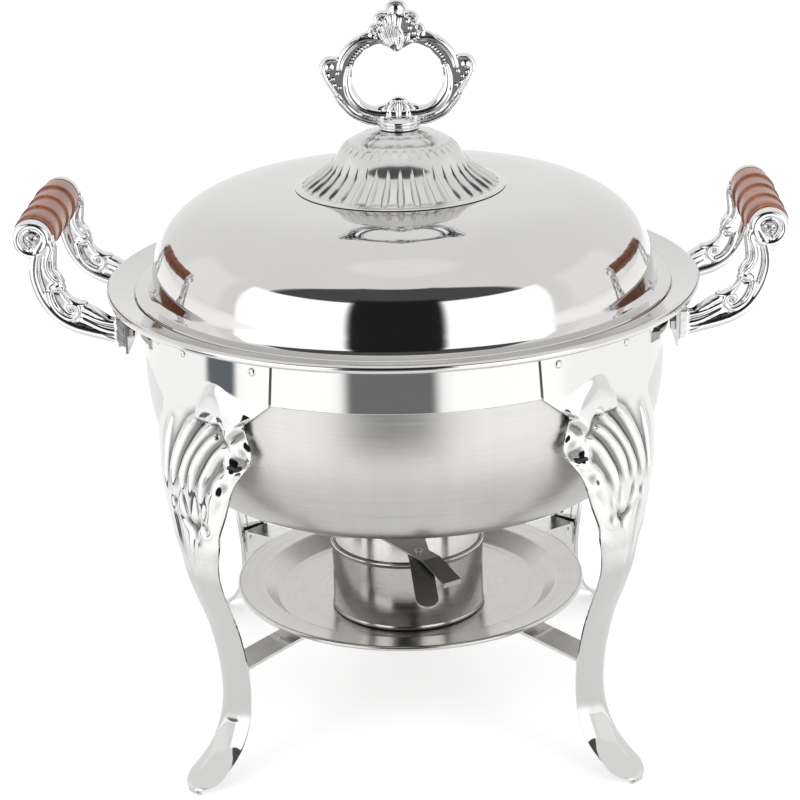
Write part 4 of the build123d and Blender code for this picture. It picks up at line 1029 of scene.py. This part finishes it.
Bk[..., 0] = np.where(fix, np.sqrt(np.maximum(170.6 ** 2 - Bk[..., 1] ** 2, 1)), Bk[..., 0])
Bk[..., 2] = np.maximum(Bk[..., 2], -296.0)
Bk[..., 2] = np.where(Zg > -9.6, P[..., 2], Bk[..., 2])
nP = NV * NU
verts0 = np.vstack([P.reshape(-1, 3), Bk.reshape(-1, 3)])
F0 = []
for i in range(NV - 1):
    for j in range(NU - 1):
        a = i * NU + j
        F0.append((a, a + 1, a + NU + 1, a + NU))
        F0.append((nP + a, nP + a + NU, nP + a + NU + 1, nP + a + 1))
for i in range(NV - 1):
    for j in (0, NU - 1):
        a = i * NU + j
        F0.append((a, a + NU, nP + a + NU, nP + a) if j == 0 else (a, nP + a, nP + a + NU, a + NU))
for i in (0, NV - 1):
    for j in range(NU - 1):
        a = i * NU + j
        F0.append((a, nP + a, nP + a + 1, a + 1) if i == 0 else (a, a + 1, nP + a + 1, nP + a))
for nm, rot, sgn in (("front_left", -135, 1), ("rear_right", 45, 1), ("front_right", -45, -1), ("rear_left", 135, -1)):
    ca, sa = math.cos(math.radians(rot)), math.sin(math.radians(rot))
    q = verts0.copy()
    q[:, 1] *= sgn
    w_ = np.stack([q[:, 0] * ca - q[:, 1] * sa, q[:, 0] * sa + q[:, 1] * ca, q[:, 2] + ZR], axis=1)
    leg_me = mesh_from(f"leg_{nm}", w_, F0 if sgn > 0 else [tuple(reversed(f)) for f in F0])
    # the crease mask drives painted shade in the leg's base colour
    at_ = leg_me.attributes.new("painted_groove_shade", "FLOAT", "POINT")
    at_.data.foreach_set("value", list(crease_shade_mask.ravel()) + [0.0] * nP)
    finish_piece(f"pressed_leg_{nm}", leg_me,
                 M_LEG, "stand", [f"leg_{nm}"], 62.0)

# --------------------------------------------------------------------------
# rivets with domed heads
# --------------------------------------------------------------------------
def rivet_part(az, z, r_face, r_in, rot_yaw=0.0):
    prof_ = joined([(0, 1.25), (0.9, 1.18), (1.7, 0.95), (2.3, 0.55), (2.65, 0.1), (2.7, 0.0), (1.6, 0.0), (1.6, -(r_face - r_in)), (2.4, -(r_face - r_in)),
                    (2.3, -(r_face - r_in) - 0.5), (0, -(r_face - r_in) - 0.6)])
    v_, f_ = lathe_data(prof_, 28, True, 0.0)
    a_ = math.radians(az)
    m_ = Matrix.Translation((r_face * math.cos(a_), r_face * math.sin(a_), z + ZR)) @ Matrix.Rotation(a_, 4, "Z") @ Matrix.Rotation(math.radians(90), 4, "Y")
    return [tuple(m_ @ Vector(q_)) for q_ in v_], f_


rv = []
for rot, sgn in ((-135, 1), (45, 1), (-45, -1), (135, -1)):
    for a_ in (-16.5, -6.0, 13.5):
        rv.append(rivet_part(rot + sgn * a_, -15.0, 172.12, 169.28))
v, f = gather(rv)
finish_piece("leg_rivet_heads", mesh_from("leg_rivets", v, f), M_HOOP, "stand", ["leg_rivets"], 30.0)
rv = []
for base in (-2.0, 178.0):
    for z in (-15.0, -27.0):
        rv.append(rivet_part(base, z, 172.22, 169.28))
v, f = gather(rv)
finish_piece("plate_rivet_heads", mesh_from("plate_rivets", v, f), M_HOOP, "stand", ["handle_plate_rivets"], 30.0)

# --------------------------------------------------------------------------
# stage: floor, softboxes, flags, camera
# --------------------------------------------------------------------------
def stage_plane(name, centre, u, v, color, strength, glossy_only=True):
    """Rectangle spanned by half-vectors u and v."""
    c, u, v = Vector(centre), Vector(u), Vector(v)
    me = bpy.data.meshes.new(name)
    me.from_pydata([c - u - v, c + u - v, c + u + v, c - u + v], [], [(0, 1, 2, 3)])
    o = bpy.data.objects.new(name, me)
    SC.collection.objects.link(o)
    m = bpy.data.materials.new(name)
    m.use_nodes = True
    nt = m.node_tree
    nt.nodes.clear()
    out = nt.nodes.new("ShaderNodeOutputMaterial")
    e = nt.nodes.new("ShaderNodeEmission")
    e.inputs[0].default_value = (*color, 1)
    e.inputs[1].default_value = strength
    nt.links.new(e.outputs[0], out.inputs[0])
    me.materials.append(m)
    if glossy_only:
        o.visible_camera = False
        o.visible_diffuse = False
        o.visible_shadow = False
        o.visible_transmission = False
    return o


def floor():
    me = bpy.data.meshes.new("floor")
    s = 6.0
    me.from_pydata([(-s, -s, 0), (s, -s, 0), (s, s, 0), (-s, s, 0)], [], [(0, 1, 2, 3)])
    o = bpy.data.objects.new("floor", me)
    SC.collection.objects.link(o)
    m, nt, b = new_mat("pale_floor", (0.93, 0.93, 0.93), 0.55, metal=0.0, spec=0.2)
    b.inputs["Emission Color"].default_value = (1, 1, 1, 1)
    b.inputs["Emission Strength"].default_value = 0.25
    me.materials.append(m)


floor()
w = bpy.data.worlds.new("studio")
w.use_nodes = True
SC.world = w
bg = w.node_tree.nodes["Background"]
bg.inputs[0].default_value = (1.0, 1.0, 1.0, 1)
bg.inputs[1].default_value = 1.0


def sph(az, el, r, c=(0, 0, 0.25)):
    """Point at azimuth az from the front (+ to the right) and elevation el."""
    a, e = math.radians(az), math.radians(el)
    return (c[0] + r * math.cos(e) * math.sin(a), c[1] - r * math.cos(e) * math.cos(a), c[2] + r * math.sin(e))


def emitter(name, V_, F_, fade, strength, base, color=(1, 1, 1)):
    """Surface seen only in reflections; its glow fades to the studio's own level at its edges."""
    me = bpy.data.meshes.new(name)
    me.from_pydata(V_, [], F_)
    at = me.attributes.new("fade", "FLOAT", "POINT")
    at.data.foreach_set("value", fade)
    o = bpy.data.objects.new(name, me)
    SC.collection.objects.link(o)
    m_ = bpy.data.materials.new(name)
    m_.use_nodes = True
    nt_ = m_.node_tree
    nt_.nodes.clear()
    out = nt_.nodes.new("ShaderNodeOutputMaterial")
    e = nt_.nodes.new("ShaderNodeEmission")
    tr = nt_.nodes.new("ShaderNodeBsdfTransparent")
    mx_ = nt_.nodes.new("ShaderNodeMixShader")
    an = nt_.nodes.new("ShaderNodeAttribute")
    an.attribute_name = "fade"
    e.inputs[0].default_value = (*color, 1)
    e.inputs[1].default_value = strength
    nt_.links.new(an.outputs["Fac"], mx_.inputs[0])
    nt_.links.new(tr.outputs[0], mx_.inputs[1])
    nt_.links.new(e.outputs[0], mx_.inputs[2])
    nt_.links.new(mx_.outputs[0], out.inputs[0])
    me.materials.append(m_)
    o.visible_camera = False
    o.visible_diffuse = False
    o.visible_shadow = False
    o.visible_transmission = False
    return o


def ramp01(t):
    t = min(1.0, max(0.0, t))
    return t * t * (3 - 2 * t)


def card(name, az0, az1, el0, el1, r, color, strength, sa=6.0, se=6.0, wrap=False):
    """Patch of a sphere round the object with soft borders of sa and se degrees."""
    n, m = 48, 24
    V_, F_, fd = [], [], []
    for i in range(m + 1):
        el = el0 + (el1 - el0) * i / m
        for k_ in range(n + 1):
            az = az0 + (az1 - az0) * k_ / n
            V_.append(sph(az, el, r))
            fa = 1.0 if wrap else ramp01((az - az0) / sa) * ramp01((az1 - az) / sa)
            fd.append(fa * ramp01((el - el0) / se) * (1.0 if el1 > 88 else ramp01((el1 - el) / se)))
    for i in range(m):
        for k_ in range(n):
            a_ = i * (n + 1) + k_
            F_.append((a_, a_ + 1, a_ + n + 2, a_ + n + 1))
    return emitter(name, V_, F_, fd, strength, 1.0, color)


def floor_patch(name, az0, az1, r0, r1, color, strength, z, sa=6.0, sr=0.12, wrap=False):
    n, m = 48, 20
    V_, F_, fd = [], [], []
    for i in range(m + 1):
        rr_ = r0 + (r1 - r0) * i / m
        for k_ in range(n + 1):
            az = az0 + (az1 - az0) * k_ / n
            a_ = math.radians(az)
            V_.append((rr_ * math.sin(a_), -rr_ * math.cos(a_), z))
            fa = 1.0 if wrap else ramp01((az - az0) / sa) * ramp01((az1 - az) / sa)
            fd.append(fa * (1.0 if r0 == 0 else ramp01((rr_ - r0) / sr)) * ramp01((r1 - rr_) / sr))
    for i in range(m):
        for k_ in range(n):
            a_ = i * (n + 1) + k_
            F_.append((a_, a_ + 1, a_ + n + 2, a_ + n + 1))
    return emitter(name, V_, F_, fd, strength, 1.0, color)


# white softboxes either side of the dark gap where the photographer stands
card("box_left", -79, -24, -12, 34, 3.4, (1, 1, 1), 1.7, 3, 3)
card("box_right", 17, 69, -12, 34, 3.4, (1, 1, 1), 1.7, 3, 3)
card("kick_left", -126, -84, -6, 38, 3.4, (1, 1, 1), 1.12, 8, 7)
card("kick_right", 75, 122, -6, 38, 3.4, (1, 1, 1), 1.12, 8, 7)
card("gap_front", -26, 19, -12, 38, 3.0, (0.97, 0.985, 1.0), 0.02, 3.5, 3)
# ceiling bar over the two boxes, wide at the bottom and narrowing upwards
for i in range(24):
    e0, e1 = 32.0 + i, 33.0 + i
    wl = float(np.interp(e0 + 0.5, (32, 36, 40, 44, 48, 52, 56), (69, 67.5, 64.5, 60, 53, 42, 27)))
    wr = float(np.interp(e0 + 0.5, (32, 36, 40, 44, 48, 52, 56), (61, 59.5, 56.5, 52, 45, 35, 21)))
    card(f"bar_{i}", -wl, wr, e0 - 0.15, e1 + 0.15, 3.1, (0.97, 0.985, 1.0), 0.06, 4, 0.3)
card("box_top", -180, 180, 74, 89, 3.6, (1, 1, 1), 1.1, 6, 5, True)
# the same on the floor, which the upright sheet reflects
floor_patch("floor_left", -70, -25, 0.42, 2.9, (1, 1, 1), 1.55, 0.0012, 7, 0.16)
floor_patch("floor_right", 14, 66, 0.42, 2.9, (1, 1, 1), 1.55, 0.0012, 7, 0.16)
floor_patch("floor_gap", -26, 15, 0.55, 2.9, (0.98, 0.985, 1.0), 0.22, 0.0014, 6, 0.16)
floor_patch("floor_flag", -86, -67, 0.40, 1.7, (0.78, 0.86, 1.0), 0.22, 0.0016, 4, 0.25)
floor_patch("floor_near", -180, 180, 0.0, 0.48, (0.98, 0.98, 0.985), 0.95, 0.0010, 6, 0.18, True)


def area(name, loc, target, sx, sy, power, color=(1, 1, 1)):
    l = bpy.data.lights.new(name, "AREA")
    l.shape = "RECTANGLE"
    l.size, l.size_y = sx, sy
    l.energy = power
    l.color = color
    o = bpy.data.objects.new(name, l)
    SC.collection.objects.link(o)
    o.location = loc
    dv = Vector(target) - Vector(loc)
    o.rotation_mode = "QUATERNION"
    o.rotation_quaternion = dv.to_track_quat("-Z", "Y")
    o.visible_camera = False
    o.visible_glossy = False
    return o


area("key_left", (-2.4, -2.6, 2.2), (0, 0, 0.2), 1.6, 1.6, 30)
area("key_right", (2.4, -2.6, 2.2), (0, 0, 0.2), 1.6, 1.6, 30)

CAM_D, CAM_H, CAM_F, CAM_PITCH, CAM_ROLL, CAM_PX = 1.4198, 0.4193, 2296.64, 0.3426, 0.0257, 5.9565
cd = bpy.data.cameras.new("cam")
cam = bpy.data.objects.new("cam", cd)
SC.collection.objects.link(cam)
SC.camera = cam
cd.sensor_fit = "HORIZONTAL"
cd.sensor_width = 36.0
cd.lens = CAM_F / 800.0 * 36.0
cd.shift_x = -CAM_PX / 800.0
cd.shift_y = 0.0
cd.clip_start, cd.clip_end = 0.05, 50
cam.location = (0, -CAM_D, CAM_H + ZR * MM)
# looks along +Y, pitched down, rolled so that the right side of the picture is higher
cp, sp = math.cos(CAM_PITCH), math.sin(CAM_PITCH)
fwd = Vector((0, cp, -sp))
up0 = Vector((0, sp, cp))
right0 = Vector((1, 0, 0))
cr, sr = math.cos(CAM_ROLL), math.sin(CAM_ROLL)
right = right0 * cr - up0 * sr
up = right0 * sr + up0 * cr
rot = Matrix((right, up, -fwd)).transposed()
cam.rotation_mode = "QUATERNION"
cam.rotation_quaternion = rot.to_quaternion()

SC.view_settings.view_transform = "Standard"
SC.view_settings.look = "None"
SC.view_settings.exposure = 0.0
SC.view_settings.gamma = 1.0
